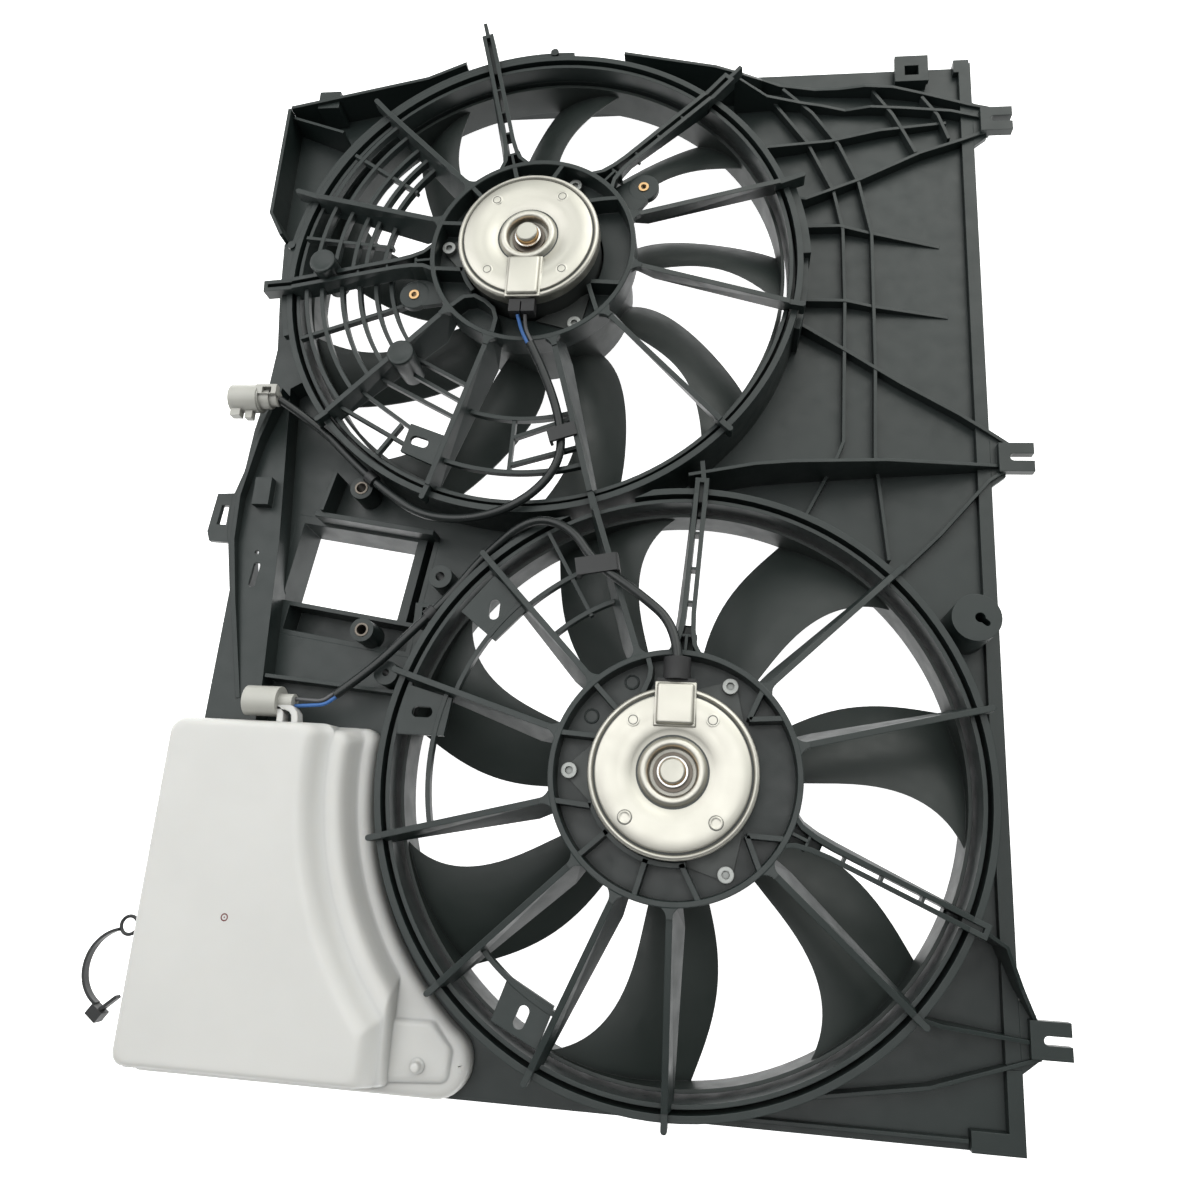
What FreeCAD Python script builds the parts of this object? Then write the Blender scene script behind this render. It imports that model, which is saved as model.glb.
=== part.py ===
import FreeCAD, Part
import math
import os

# Twin-fan radiator shroud, lying on its radiator side.
# +Z points to the motor side, +Y along the long side, all lengths in mm.
# The plan datum used below is moved to the middle of the bounding box on export.

V = FreeCAD.Vector

# ---------------------------------------------------------------- driving sizes
ORIGIN_X = -98.45         # plan datum to middle of the bounding box
ORIGIN_Y = 236.7

# axes of the two fans in plan
UPPER_X, UPPER_Y = -136.5, 398.5
LOWER_X, LOWER_Y = -26.5, 52.5

# levels
RIM_Z = 0.0               # radiator-side rim
PLATE_Z = 24.0            # top of the floor plate
PLATE_T = 2.5
WALL_T = 2.5
STEP_H = 5.0              # raised flange along the right side
LEFT_H = 16.0             # raised shelf along the left side
COLLAR_H = 40.0           # collar lip above the floor plate
HUB_ABOVE_LIP = 22.0      # guard hub above the collar lip
MOTOR_ABOVE_HUB = 14.0    # motor cap above the guard hub

# outline of the floor plate
RIGHT_X = 169.0
FOLD_X = 160.5
BOTTOM_Y = -137.0
TOP_Y = 592.0
LEFT_X = -361.0

# collars and guard rings
LIP_R = 182.0             # outside of the collar
LIP_T = 4.0
GROOVE_W = 2.5            # open groove between collar lip and guard ring
DUCT_R = 173.0            # bore that the fan turns in
DUCT_T = 2.5
DUCT_Z = 30.0             # lower end of the duct wall
LEDGE_DROP = 15.0         # ledge below the lip, carries the guard ring
SEAT_GAP = 0.3

# guard hub
HUB_R = 70.0
HUB_T = 4.0
FLOOR_DROP = 14.0         # motor floor below the hub's top edge
FLOOR_T = 3.0
WEB_T = 3.0

# stays
STAY_T = 3.6
STAY_LEAN = 7.0           # foot of a stay leads its top edge by this
STAY_ROOT_H = 21.0
STAY_TIP_H = 9.5
STAY_TIP_UP = 6.0         # stay's top edge above the collar lip
STAY_NOSE_R = 186.5
BEAM_W = 8.6              # double stay, over both rails
BEAM_SLOT = 2.8           # open channel between the rails
BEAM_FOOT = 22.0          # width of its splayed foot at the hub
BEAM_SLOT_DEPTH = 10.0

# motors
CAN_R = 46.0
CAN_T = 2.0
CAN_L = 50.0
CAP_R = 47.6
CAP_T = 9.0
MOTOR_FIT = 1.2           # radial gap between can and guard floor
SHAFT_R = 5.0
SHAFT_END_R = 7.0
SHAFT_CLEAR = 0.05
SCREW_PITCH_R = 61.0
SCREW_R = 2.5
SCREW_HEAD_R = 4.6

# fans
BAND_R = 170.5
BAND_T = 2.2
BAND_H = 24.0
BAND_Z = 24.0
BLADE_MID_Z = 33.0
FAN_FOOT_Z = 19.5          # closed end of the fan's hub
FAN_HUB_R = 63.0
FAN_HUB_T = 2.6
BLADE_T = 2.6
FAN_CLEAR = 3.0

# connectors and leads
SLEEVE_D = 5.8
WIRE_D = 2.4
PLUG_R = 9.7
PLUG_NECK_R = 5.2

LIP_Z = PLATE_Z + COLLAR_H
HUB_Z = LIP_Z + HUB_ABOVE_LIP
FLOOR_Z = HUB_Z - FLOOR_DROP
CAP_Z = HUB_Z + MOTOR_ABOVE_HUB
LEDGE_Z = LIP_Z - LEDGE_DROP
BASE_Z = PLATE_Z - PLATE_T
GUARD_Z = LIP_Z - 2.0
FLANGE_Z = PLATE_Z + STEP_H
SHELF_Z = PLATE_Z + LEFT_H

# angle and nose radius of each single stay; angle, nose radius and pin length of each double one
UPPER_STAYS = ((133.0, 197.0), (160.5, 196.0), (220.0, STAY_NOSE_R), (250.5, STAY_NOSE_R),
               (286.0, 189.5), (317.5, STAY_NOSE_R), (349.0, STAY_NOSE_R), (20.0, 194.0))
UPPER_BEAMS = ((105.0, 206.0, 13.0), (184.5, 197.0, 0.0), (49.6, 199.0, 12.0))
LOWER_STAYS = tuple((a, STAY_NOSE_R) for a in (
    45.0, 15.0, 318.0, 270.5, 246.0, 223.5, 194.0, 162.0, 133.5, 109.0))
LOWER_BEAMS = ((87.0, 187.0, 0.0), (336.6, STAY_NOSE_R, 0.0))



# ---------------------------------------------------------------- helpers
def cyl(x, y, z0, z1, r):
    return Part.makeCylinder(r, z1 - z0, V(x, y, z0))


def tube(x, y, z0, z1, r_in, r_out):
    return cyl(x, y, z0, z1, r_out).cut(cyl(x, y, z0 - 1, z1 + 1, r_in))


def box(x0, y0, z0, x1, y1, z1):
    return Part.makeBox(x1 - x0, y1 - y0, z1 - z0, V(x0, y0, z0))


def face_of(points, z):
    pts = [V(p[0], p[1], z) for p in points]
    return Part.Face(Part.makePolygon(pts + [pts[0]]))


def prism(points, z0, z1):
    return face_of(points, z0).extrude(V(0, 0, z1 - z0))


def inset(points, d, z0, z1):
    face = face_of(points, z0).makeOffset2D(-d, 2)
    return face.extrude(V(0, 0, z1 - z0))


def turned(shape, x, y, angle):
    out = shape.copy()
    out.rotate(V(x, y, 0), V(0, 0, 1), angle)
    return out


def polar(cx, cy, r, angle, z=0.0):
    a = math.radians(angle)
    return V(cx + r * math.cos(a), cy + r * math.sin(a), z)


def revolve(cx, cy, profile):
    pts = [V(cx + r, cy, z) for r, z in profile]
    face = Part.Face(Part.makePolygon(pts + [pts[0]]))
    return face.revolve(V(cx, cy, 0), V(0, 0, 1), 360)


def fuse(shapes):
    first = shapes[0]
    if len(shapes) == 1:
        return first
    return first.fuse(shapes[1:]).removeSplitter()


def slot(x, y, z0, z1, length, width, angle):
    r = width / 2.0
    half = max(length / 2.0 - r, 0.01)
    body = box(x - half, y - r, z0, x + half, y + r, z1)
    body = body.fuse([cyl(x - half, y, z0, z1, r), cyl(x + half, y, z0, z1, r)])
    return turned(body, x, y, angle)


def sector(cx, cy, r0, r1, a0, a1, z0, z1):
    ring = Part.makeCylinder(r1, z1 - z0, V(cx, cy, z0), V(0, 0, 1), a1 - a0)
    core = Part.makeCylinder(r0, z1 - z0 + 2, V(cx, cy, z0 - 1))
    return turned(ring.cut(core), cx, cy, a0)


def hexa(top, foot):
    # solid between four upper and four lower corners, walls split in triangles
    faces = []

    def tri(a, b, c):
        faces.append(Part.Face(Part.makePolygon([a, b, c, a])))

    tri(top[0], top[1], top[2])
    tri(top[0], top[2], top[3])
    tri(foot[0], foot[2], foot[1])
    tri(foot[0], foot[3], foot[2])
    for i in range(4):
        j = (i + 1) % 4
        tri(top[i], foot[i], foot[j])
        tri(top[i], foot[j], top[j])
    solid = Part.makeSolid(Part.makeShell(faces))
    if solid.Volume < 0:
        solid.reverse()
    return solid.removeSplitter()


def wall(points, z0, t):
    # upright rib along plan points, each with its own top level
    lefts, rights = [], []
    n = len(points)
    for i in range(n):
        a = points[max(i - 1, 0)]
        b = points[min(i + 1, n - 1)]
        dx, dy = b[0] - a[0], b[1] - a[1]
        length = math.hypot(dx, dy)
        nx, ny = -dy / length * t / 2.0, dx / length * t / 2.0
        lefts.append((points[i][0] + nx, points[i][1] + ny))
        rights.append((points[i][0] - nx, points[i][1] - ny))
    parts = []
    for i in range(n - 1):
        ring = (lefts[i], rights[i], rights[i + 1], lefts[i + 1])
        tops = (points[i][2], points[i][2], points[i + 1][2], points[i + 1][2])
        top = [V(p[0], p[1], z) for p, z in zip(ring, tops)]
        foot = [V(p[0], p[1], z0) for p in ring]
        parts.append(hexa(top, foot))
    return parts


def save(name, shape):
    out = shape.copy()
    out.translate(V(-ORIGIN_X, -ORIGIN_Y, 0))
    solids = out.Solids
    if len(solids) == 1:
        out = solids[0]
    else:
        out = Part.makeCompound(solids)
    out.exportStep("parts/" + name + ".step")
    box_ = out.BoundBox
    print("%-26s solids %3d valid %s  x %7.1f %7.1f  y %7.1f %7.1f  z %6.1f %6.1f" % (
        name, len(solids), out.isValid(), box_.XMin, box_.XMax, box_.YMin, box_.YMax,
        box_.ZMin, box_.ZMax))


# ---------------------------------------------------------------- shroud panel
LUG_T = 4.0
FORK_ROOT_X = 178.0
FORK_TIP_X = 195.0
FORK_Z = PLATE_Z + 10.0
FORK_T = 6.0
FORK_SLOT = 5.0
FORK_YS = (537.0, 271.5, -77.0)
WINDOW_X, WINDOW_Y = -261.8, 187.4
WINDOW_TURN = -8.4
WINDOW_LEFT, WINDOW_RIGHT = -37.0, 45.5
WINDOW_LOW, WINDOW_HIGH = -29.0, 25.0
WINDOW_DRAFT = 5.0        # lean of the far and left sides over the duct's height
DUCT_WALL = 3.5
DUCT_FLOOR = 4.0
GROOVE_X0, GROOVE_X1 = 52.0, 57.0
POCKET_LOW = -49.0
BOSS_R = 8.0
BOSS_TOP = SHELF_Z + 4.0
SLEEVE_R = 4.6
SLEEVE_BORE_R = 3.3
PLAIN_BORE_R = 3.0
SMALL_BORE_R = 2.2
MODULE_BOSSES = ((-250.5, 240.0), (-237.0, 140.0))
PLAIN_BOSS = (-188.0, 178.0)
SMALL_BOSS = (-217.0, 112.0)
KEY_X, KEY_Y = 148.0, 156.0
KEY_R = 14.5
COLLAR_AXES = ((UPPER_X, UPPER_Y), (LOWER_X, LOWER_Y))
SHELF = [(-340.0, 440.0), (-336.0, 391.0), (-331.0, 350.0), (-333.0, 317.0), (-338.0, 285.0),
         (-340.0, 254.0), (-346.0, 232.0), (-345.0, 209.0), (-336.0, 165.5), (-338.0, 75.0),
         (-344.4, 16.0), (-303.0, 16.0), (-302.0, 105.0), (-306.0, 202.0), (-316.0, 318.0),
         (-296.0, 330.0), (-300.0, 432.0)]


def plate_outline():
    return [
        (LEFT_X, BOTTOM_Y), (RIGHT_X, BOTTOM_Y), (RIGHT_X, TOP_Y), (14.0, TOP_Y),
        (-60.0, UPPER_Y + LIP_R + 5.0), (-205.0, UPPER_Y + LIP_R + 5.0),
        (-350.0, 561.0), (-352.0, 462.0)] + SHELF[:11]


def collar_bores():
    return [cyl(x, y, RIM_Z - 1, CAP_Z, LIP_R) for x, y in COLLAR_AXES]


def at_window(shape):
    placed = shape.copy()
    placed.translate(V(WINDOW_X, WINDOW_Y, 0))
    return turned(placed, WINDOW_X, WINDOW_Y, WINDOW_TURN)


def make_rim():
    # upright wall round the radiator side
    outline = plate_outline()
    return prism(outline, RIM_Z, BASE_Z).cut(inset(outline, WALL_T, RIM_Z - 1, BASE_Z + 1))


def make_flanges():
    # hollow band with corner blocks along the right side, and the raised shelf on the left
    band = box(FOLD_X, BOTTOM_Y, BASE_Z, RIGHT_X, TOP_Y, FLANGE_Z)
    tab = box(FOLD_X - 3.5, TOP_Y - 8.0, BASE_Z, RIGHT_X - 1, TOP_Y + 3.0, FLANGE_Z)
    foot = box(FOLD_X - 20.0, BOTTOM_Y, BASE_Z, RIGHT_X, BOTTOM_Y + 11.0, FLANGE_Z + 1.0)
    leg = box(FOLD_X, BOTTOM_Y, BASE_Z, RIGHT_X, -94.0, FLANGE_Z + 1.0)
    band = fuse([band, tab, foot, leg])
    band = band.cut(box(FOLD_X + WALL_T, BOTTOM_Y + WALL_T, BASE_Z - 1,
                        RIGHT_X - WALL_T, TOP_Y - WALL_T, FLANGE_Z - PLATE_T))
    shelf = prism(SHELF, BASE_Z, SHELF_Z)
    shelf = shelf.cut(inset(SHELF, WALL_T, BASE_Z - 1, SHELF_Z - PLATE_T))
    block = box(-327.0, 226.0, SHELF_Z - 1, -315.0, 246.0, SHELF_Z + 7.0)
    shelf = shelf.fuse(block).cut(Part.makeCompound(collar_bores() + [
        cyl(-321.0, 193.0, BASE_Z, CAP_Z, 1.6),
        slot(-320.0, 177.0, SHELF_Z - 6, CAP_Z, 18.0, 5.0, 84)]))
    shelf = max(shelf.Solids, key=lambda s: s.Volume)
    return Part.makeCompound([band, shelf])


def make_duct():
    # open duct of the module window with a groove at its right and a pocket below it
    x0, x1 = WINDOW_LEFT - DUCT_WALL - WINDOW_DRAFT, GROOVE_X1 + DUCT_WALL
    y0, y1 = POCKET_LOW - DUCT_WALL, WINDOW_HIGH + DUCT_WALL + WINDOW_DRAFT
    body = box(x0, y0, RIM_Z, x1, y1, PLATE_Z)
    rim = box(-26.0, y1 - DUCT_WALL, PLATE_Z, x1, y1, SHELF_Z)
    body = fuse([body, rim])

    def ring(z, spread):
        pts = [V(WINDOW_LEFT - spread, WINDOW_LOW, z), V(WINDOW_RIGHT, WINDOW_LOW, z),
               V(WINDOW_RIGHT, WINDOW_HIGH + spread, z),
               V(WINDOW_LEFT - spread, WINDOW_HIGH + spread, z)]
        return Part.makePolygon(pts + [pts[0]])

    hole = Part.makeLoft([ring(RIM_Z - 0.1, 0.0), ring(SHELF_Z + 1, WINDOW_DRAFT)], True, True)
    groove = box(GROOVE_X0, WINDOW_LOW, DUCT_FLOOR, GROOVE_X1, WINDOW_HIGH + WINDOW_DRAFT, CAP_Z)
    pocket = box(WINDOW_LEFT + 4.0, POCKET_LOW, DUCT_FLOOR, GROOVE_X1, WINDOW_LOW - 3.0, CAP_Z)
    return at_window(body.cut(Part.makeCompound([hole, groove, pocket])))


def boss(x, y, bore_r):
    return cyl(x, y, BASE_Z, BOSS_TOP, BOSS_R).cut(cyl(x, y, BASE_Z - 1, CAP_Z, bore_r))


def make_bosses():
    bosses = [boss(x, y, SLEEVE_R) for x, y in MODULE_BOSSES]
    nest = box(-203.0, 146.0, BASE_Z, -186.0, 160.0, SHELF_Z + 2.0)
    nest = nest.cut(box(-198.0, 150.0, PLATE_Z + 4, -191.0, 157.0, CAP_Z))
    bosses.append(boss(PLAIN_BOSS[0], PLAIN_BOSS[1], PLAIN_BORE_R))
    bosses.append(nest)
    bosses.append(boss(SMALL_BOSS[0], SMALL_BOSS[1], SMALL_BORE_R))
    key = cyl(KEY_X, KEY_Y, BASE_Z, LIP_Z - 4.0, KEY_R)
    key = key.cut(cyl(KEY_X + 2.0, KEY_Y, PLATE_Z, CAP_Z, 3.0))
    key = key.cut(slot(KEY_X + 3.5, KEY_Y - 1.5, PLATE_Z, CAP_Z, 9.5, 3.6, -40))
    bosses.append(key)
    return Part.makeCompound(bosses)


def make_forks():
    # two prongs and a root web each
    forks = []
    for y in FORK_YS:
        root = prism([(RIGHT_X, y - 19), (FORK_ROOT_X, y - 12), (FORK_ROOT_X, y + 12),
                      (RIGHT_X, y + 19)], PLATE_Z + 1, PLATE_Z + STEP_H)
        head = box(FORK_ROOT_X - 5, y - 10.0, FORK_Z - FORK_T, FORK_TIP_X, y + 10.0, FORK_Z)
        fork = root.fuse(head).removeSplitter()
        forks.append(fork.cut(slot(FORK_TIP_X - 3.0, y, 0, CAP_Z, 24.0, FORK_SLOT, 0)))
    return Part.makeCompound(forks)


def make_lugs():
    # loop on the left edge, square socket at the top right and tab on the wing
    loop = prism([(-344.0, 236.5), (-357.0, 236.0), (-360.0, 208.0), (-357.5, 201.0),
                  (-340.5, 200.0)], SHELF_Z - LUG_T, SHELF_Z)
    loop = loop.cut(prism([(-347.0, 227.5), (-352.5, 227.5), (-354.0, 213.0),
                           (-347.0, 213.0)], 0, CAP_Z))
    loop = loop.cut(prism(SHELF, BASE_Z, SHELF_Z))
    loop = max(loop.Solids, key=lambda s: s.Volume)
    stem = box(115.0, 574.0, BASE_Z, 137.0, TOP_Y - 1, PLATE_Z + 6.0)
    head = box(114.0, 574.0, PLATE_Z + 5.0, 138.0, TOP_Y + 5.0, PLATE_Z + 9.0)
    socket = stem.fuse(head).removeSplitter()
    socket = socket.cut(box(121.0, 579.5, PLATE_Z - 1, 131.0, 588.0, CAP_Z))
    tab = box(-328.5, 559.0, PLATE_Z, -311.5, 574.5, SHELF_Z + 6.0)
    return Part.makeCompound([loop, socket, tab])


def make_floor(others):
    floor = prism(plate_outline(), BASE_Z, PLATE_Z)
    cuts = collar_bores() + others
    cuts.append(box(FOLD_X, BOTTOM_Y - 1, RIM_Z, RIGHT_X + 1, TOP_Y + 4, FLANGE_Z))
    cuts.append(prism(SHELF, RIM_Z, SHELF_Z))
    x1, y1 = GROOVE_X1 + 1.0, WINDOW_HIGH + DUCT_WALL
    cuts.append(at_window(box(WINDOW_LEFT - 4.0, POCKET_LOW - 1.0, RIM_Z, x1, y1, SHELF_Z)))
    floor = floor.cut(Part.makeCompound(cuts))
    return max(floor.Solids, key=lambda s: s.Volume)


# ---------------------------------------------------------------- collars
RIM_OUT_R = LIP_R + 4.5     # outer rim along part of the upper collar
SKIRT_R = LIP_R + 5.5       # stepped skirt at the right of the upper collar


def make_collar(cx, cy):
    profile = [
        (LIP_R, BASE_Z), (LIP_R, LIP_Z), (LIP_R - LIP_T, LIP_Z), (LIP_R - LIP_T, LEDGE_Z),
        (DUCT_R, LEDGE_Z), (DUCT_R, DUCT_Z), (DUCT_R + DUCT_T, DUCT_Z),
        (DUCT_R + DUCT_T, LEDGE_Z - 2.5), (LIP_R - LIP_T, LEDGE_Z - 2.5),
        (LIP_R - LIP_T, BASE_Z)]
    return revolve(cx, cy, profile)


def make_upper_collar():
    cx, cy = UPPER_X, UPPER_Y
    pieces = [make_collar(cx, cy)]
    # outer rim at the top left, skirt in two steps at the right
    pieces.append(sector(cx, cy, LIP_R - 1, RIM_OUT_R, 86.0, 196.0, LIP_Z - 7, LIP_Z - 1.5))
    pieces.append(sector(cx, cy, LIP_R - 1, SKIRT_R, 3.0, 21.0, PLATE_Z, LIP_Z - 3))
    pieces.append(sector(cx, cy, LIP_R - 1, SKIRT_R - 1.5, -14.0, 3.0, PLATE_Z, LIP_Z - 9))
    for a in (76.0, 90.5, 173.0):
        p = polar(cx, cy, RIM_OUT_R - 1, a)
        pieces.append(cyl(p.x, p.y, LIP_Z - 7, LIP_Z + 0.5, 3.0).cut(cyl(cx, cy, 0, CAP_Z, LIP_R)))
    return fuse(pieces)


def make_guard_ring(cx, cy):
    flange_r = LIP_R - LIP_T - SEAT_GAP
    profile = [
        (DUCT_R, LEDGE_Z), (flange_r, LEDGE_Z), (flange_r, LEDGE_Z + 2.5),
        (DUCT_R + DUCT_T, LEDGE_Z + 2.5), (DUCT_R + DUCT_T, GUARD_Z), (DUCT_R, GUARD_Z)]
    return revolve(cx, cy, profile)


# ---------------------------------------------------------------- ribs
RIB_T = 2.2
RIB_H = 8.0
RIB_TOP = PLATE_Z + RIB_H
RIB_FAR = FORK_Z - 3.0
ARC_TOP = RIB_TOP - 0.5


def rib_lines():
    # plan lines of the panel ribs: x, y and top level, then foot level and thickness
    high = LIP_Z - 4.5
    on_shelf = SHELF_Z
    lines = []

    def line(points, z0=PLATE_Z, t=RIB_T):
        lines.append((points, z0, t))

    # wall from the collar's top to the first rib
    line([(-86.0, 583.5, LIP_Z - 3), (-18.0, 569.5, LIP_Z - 5), (2.0, 565.5, LIP_Z - 9),
          (16.0, 576.5, high - 22), (30.0, 575.5, RIB_TOP), (56.0, 572.0, RIB_TOP - 1.5),
          (74.0, 570.5, RIB_TOP), (92.0, 569.5, RIB_TOP + 3), (112.0, 567.5, RIB_TOP + 3),
          (135.0, 563.0, RIB_TOP), (166.0, 553.0, RIB_TOP - 1), (180.0, 549.0, RIB_FAR)])
    line([(-4.0, 560.0, high), (20.0, 561.0, RIB_TOP + 6), (45.0, 558.5, RIB_TOP + 1),
          (60.0, 556.0, RIB_TOP), (78.0, 553.5, RIB_TOP - 3), (96.0, 553.5, RIB_TOP),
          (117.0, 551.5, RIB_TOP), (153.0, 547.0, RIB_TOP), (180.0, 540.0, RIB_FAR)])
    line([(20.0, 517.0, RIB_TOP + 4), (67.0, 524.0, RIB_TOP), (102.0, 532.0, RIB_TOP),
          (150.0, 539.0, RIB_TOP - 3)])
    line([(38.0, 468.0, RIB_TOP + 10), (49.0, 473.0, RIB_TOP + 2), (88.0, 490.0, RIB_TOP),
          (130.0, 511.0, RIB_TOP), (159.0, 521.0, RIB_TOP), (180.0, 530.0, RIB_FAR)])
    # fading ribs
    line([(44.0, 451.0, RIB_TOP), (73.0, 451.0, RIB_TOP), (94.0, 446.0, RIB_TOP - 2),
          (143.0, 436.5, PLATE_Z + 0.6)], PLATE_Z - 0.5)
    line([(44.0, 391.0, RIB_TOP), (77.0, 390.0, RIB_TOP), (97.0, 386.0, RIB_TOP - 2),
          (147.0, 380.0, PLATE_Z + 0.6)], PLATE_Z - 0.5)
    # ribs to the middle fork
    line([(34.0, 379.0, high - 10), (46.0, 370.0, RIB_TOP + 3), (77.0, 351.0, RIB_TOP),
          (113.0, 326.0, RIB_TOP), (150.0, 303.0, RIB_TOP), (167.0, 291.0, RIB_TOP),
          (180.0, 282.0, RIB_FAR)])
    line([(-26.0, 246.0, high), (16.0, 254.0, high), (40.0, 256.5, high - 1),
          (100.0, 261.0, high - 8), (177.0, 266.5, RIB_FAR)])
    line([(106.0, 188.5, RIB_TOP + 6), (112.0, 194.5, RIB_TOP), (135.0, 218.0, RIB_TOP),
          (167.0, 256.0, RIB_TOP), (179.0, 264.5, RIB_FAR)])
    # ribs to the lower fork
    line([(140.0, -18.0, high - 2), (158.0, -29.0, high - 6), (167.0, -51.0, high - 14),
          (178.0, -70.0, RIB_FAR)])
    line([(100.0, -66.0, high - 2), (122.0, -72.0, high - 8), (179.0, -79.5, RIB_FAR)])
    line([(56.0, -116.0, RIB_TOP + 3), (118.0, -106.0, RIB_TOP + 3), (179.0, -87.0, RIB_FAR)])
    # low rib along the bottom edge, and the post bridging the two collars
    line([(10.0, -131.5, PLATE_Z + 6), (139.0, -131.5, PLATE_Z + 6)])
    line([(-15.0, 233.0, high), (-17.5, 255.5, high)], PLATE_Z, 3.0)
    # wing walls at the top left
    line([(-207.0, 582.0, LIP_Z - 4), (-240.0, 579.5, LIP_Z - 14),
          (-349.5, 559.0, LIP_Z - 16)], PLATE_Z, WALL_T)
    line([(-350.7, 558.0, LIP_Z - 16), (-350.7, 462.3, LIP_Z - 16),
          (-338.6, 441.5, LIP_Z - 14)], PLATE_Z, WALL_T)
    line([(-348.0, 553.0, LIP_Z - 20), (-302.0, 532.0, LIP_Z - 14)], PLATE_Z, 2.0)
    # walls round the recess above the tank
    line([(-271.0, 252.0, SHELF_Z + 3), (-277.5, 224.0, SHELF_Z + 3)], PLATE_Z, WALL_T)
    line([(-300.8, 108.0, SHELF_Z), (-212.0, 101.0, SHELF_Z - 4)], PLATE_Z, WALL_T)
    # tapering fin on the left shelf
    line([(-316.5, 312.0, on_shelf + 13), (-329.0, 274.0, on_shelf + 10),
          (-337.0, 232.0, on_shelf + 8), (-337.0, 200.0, on_shelf + 6),
          (-330.0, 158.0, on_shelf + 4), (-317.0, 92.0, on_shelf + 0.6)], on_shelf, 3.0)
    # upright ribs crossing the long ones
    line([(6.0, 581.0, ARC_TOP), (26.0, 560.0, ARC_TOP), (50.0, 524.5, ARC_TOP),
          (69.0, 481.0, ARC_TOP), (75.5, 448.0, ARC_TOP), (76.5, 389.0, ARC_TOP),
          (75.0, 283.0, ARC_TOP), (70.0, 270.0, ARC_TOP), (49.0, 227.0, ARC_TOP)])
    line([(32.0, 573.0, ARC_TOP), (54.0, 550.0, ARC_TOP), (73.0, 521.0, ARC_TOP),
          (87.0, 487.0, ARC_TOP), (95.5, 444.0, ARC_TOP), (96.5, 343.0, ARC_TOP),
          (95.5, 272.0, ARC_TOP), (103.0, 200.0, ARC_TOP)])
    line([(98.0, 568.0, ARC_TOP), (112.0, 546.0, ARC_TOP), (120.0, 529.0, ARC_TOP),
          (127.5, 512.0, ARC_TOP)])
    line([(133.0, 561.0, ARC_TOP), (144.0, 544.0, ARC_TOP), (151.0, 523.0, ARC_TOP)])
    return lines


def make_ribs(others):
    # each rib is cut back where it meets the ribs before it and what else stands on the panel
    block = [cyl(x, y, 0, CAP_Z, LIP_R) for x, y in COLLAR_AXES]
    block.append(cyl(KEY_X, KEY_Y, 0, CAP_Z, KEY_R))
    block.append(Part.makeCompound(others))
    ribs = []
    for points, z0, t in rib_lines():
        rib = fuse(wall(points, z0, t))
        rib = rib.cut(Part.makeCompound(block + ribs))
        ribs += [s for s in rib.Solids if s.Volume > 40.0]
    return ribs


# ---------------------------------------------------------------- guards
def vane(cx, cy, stations):
    # straight blade through stations of radius, half width, top and foot level, and lean
    blocks = []
    for a, b in zip(stations[:-1], stations[1:]):
        tops, feet = [], []
        for r, half, z_top, z_foot, lean in (a, b):
            tops.append([V(cx + r, cy - half, z_top), V(cx + r, cy + half, z_top)])
            feet.append([V(cx + r, cy + lean - half, z_foot), V(cx + r, cy + lean + half, z_foot)])
        blocks.append(hexa([tops[0][0], tops[0][1], tops[1][1], tops[1][0]],
                           [feet[0][0], feet[0][1], feet[1][1], feet[1][0]]))
    return blocks


STAY_ROOT_R = HUB_R - 1.5
STAY_TIP_Z = LIP_Z + STAY_TIP_UP
STAY_SLOPE = (HUB_Z - STAY_TIP_Z) / (LIP_R - STAY_ROOT_R)
RIM_IN = DUCT_R + DUCT_T + 0.6
NOSE_Z = LIP_Z - 4.0


def stay_top(r):
    return HUB_Z - STAY_SLOPE * (min(r, LIP_R) - STAY_ROOT_R)


def stay(cx, cy, angle, nose):
    # blade from the hub to the collar; the foot leans to the left of its top edge
    half = STAY_T / 2.0

    def lean_at(r):
        return STAY_LEAN * (1.0 - 0.7 * (r - STAY_ROOT_R) / (LIP_R - STAY_ROOT_R))

    r1 = STAY_ROOT_R + 14.0
    blocks = vane(cx, cy, [
        (STAY_ROOT_R, half, HUB_Z, HUB_Z - STAY_ROOT_H + 10.0, STAY_LEAN * 0.7),
        (r1, half, stay_top(r1), HUB_Z - STAY_ROOT_H, lean_at(r1)),
        (RIM_IN, half, stay_top(RIM_IN), LIP_Z - STAY_TIP_H + 2.6, lean_at(RIM_IN))])
    blocks.append(box(cx + RIM_IN - 4.0, cy - half, LIP_Z + 0.01,
                      cx + nose - half, cy + half, STAY_TIP_Z - 0.2))
    blocks.append(cyl(cx + nose - half, cy, NOSE_Z, STAY_TIP_Z - 0.2, half))
    blocks.append(box(cx + LIP_R + 0.6, cy - half, NOSE_Z,
                      cx + nose - half, cy + half, STAY_TIP_Z - 0.2))
    return turned(fuse(blocks), cx, cy, angle)


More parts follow.
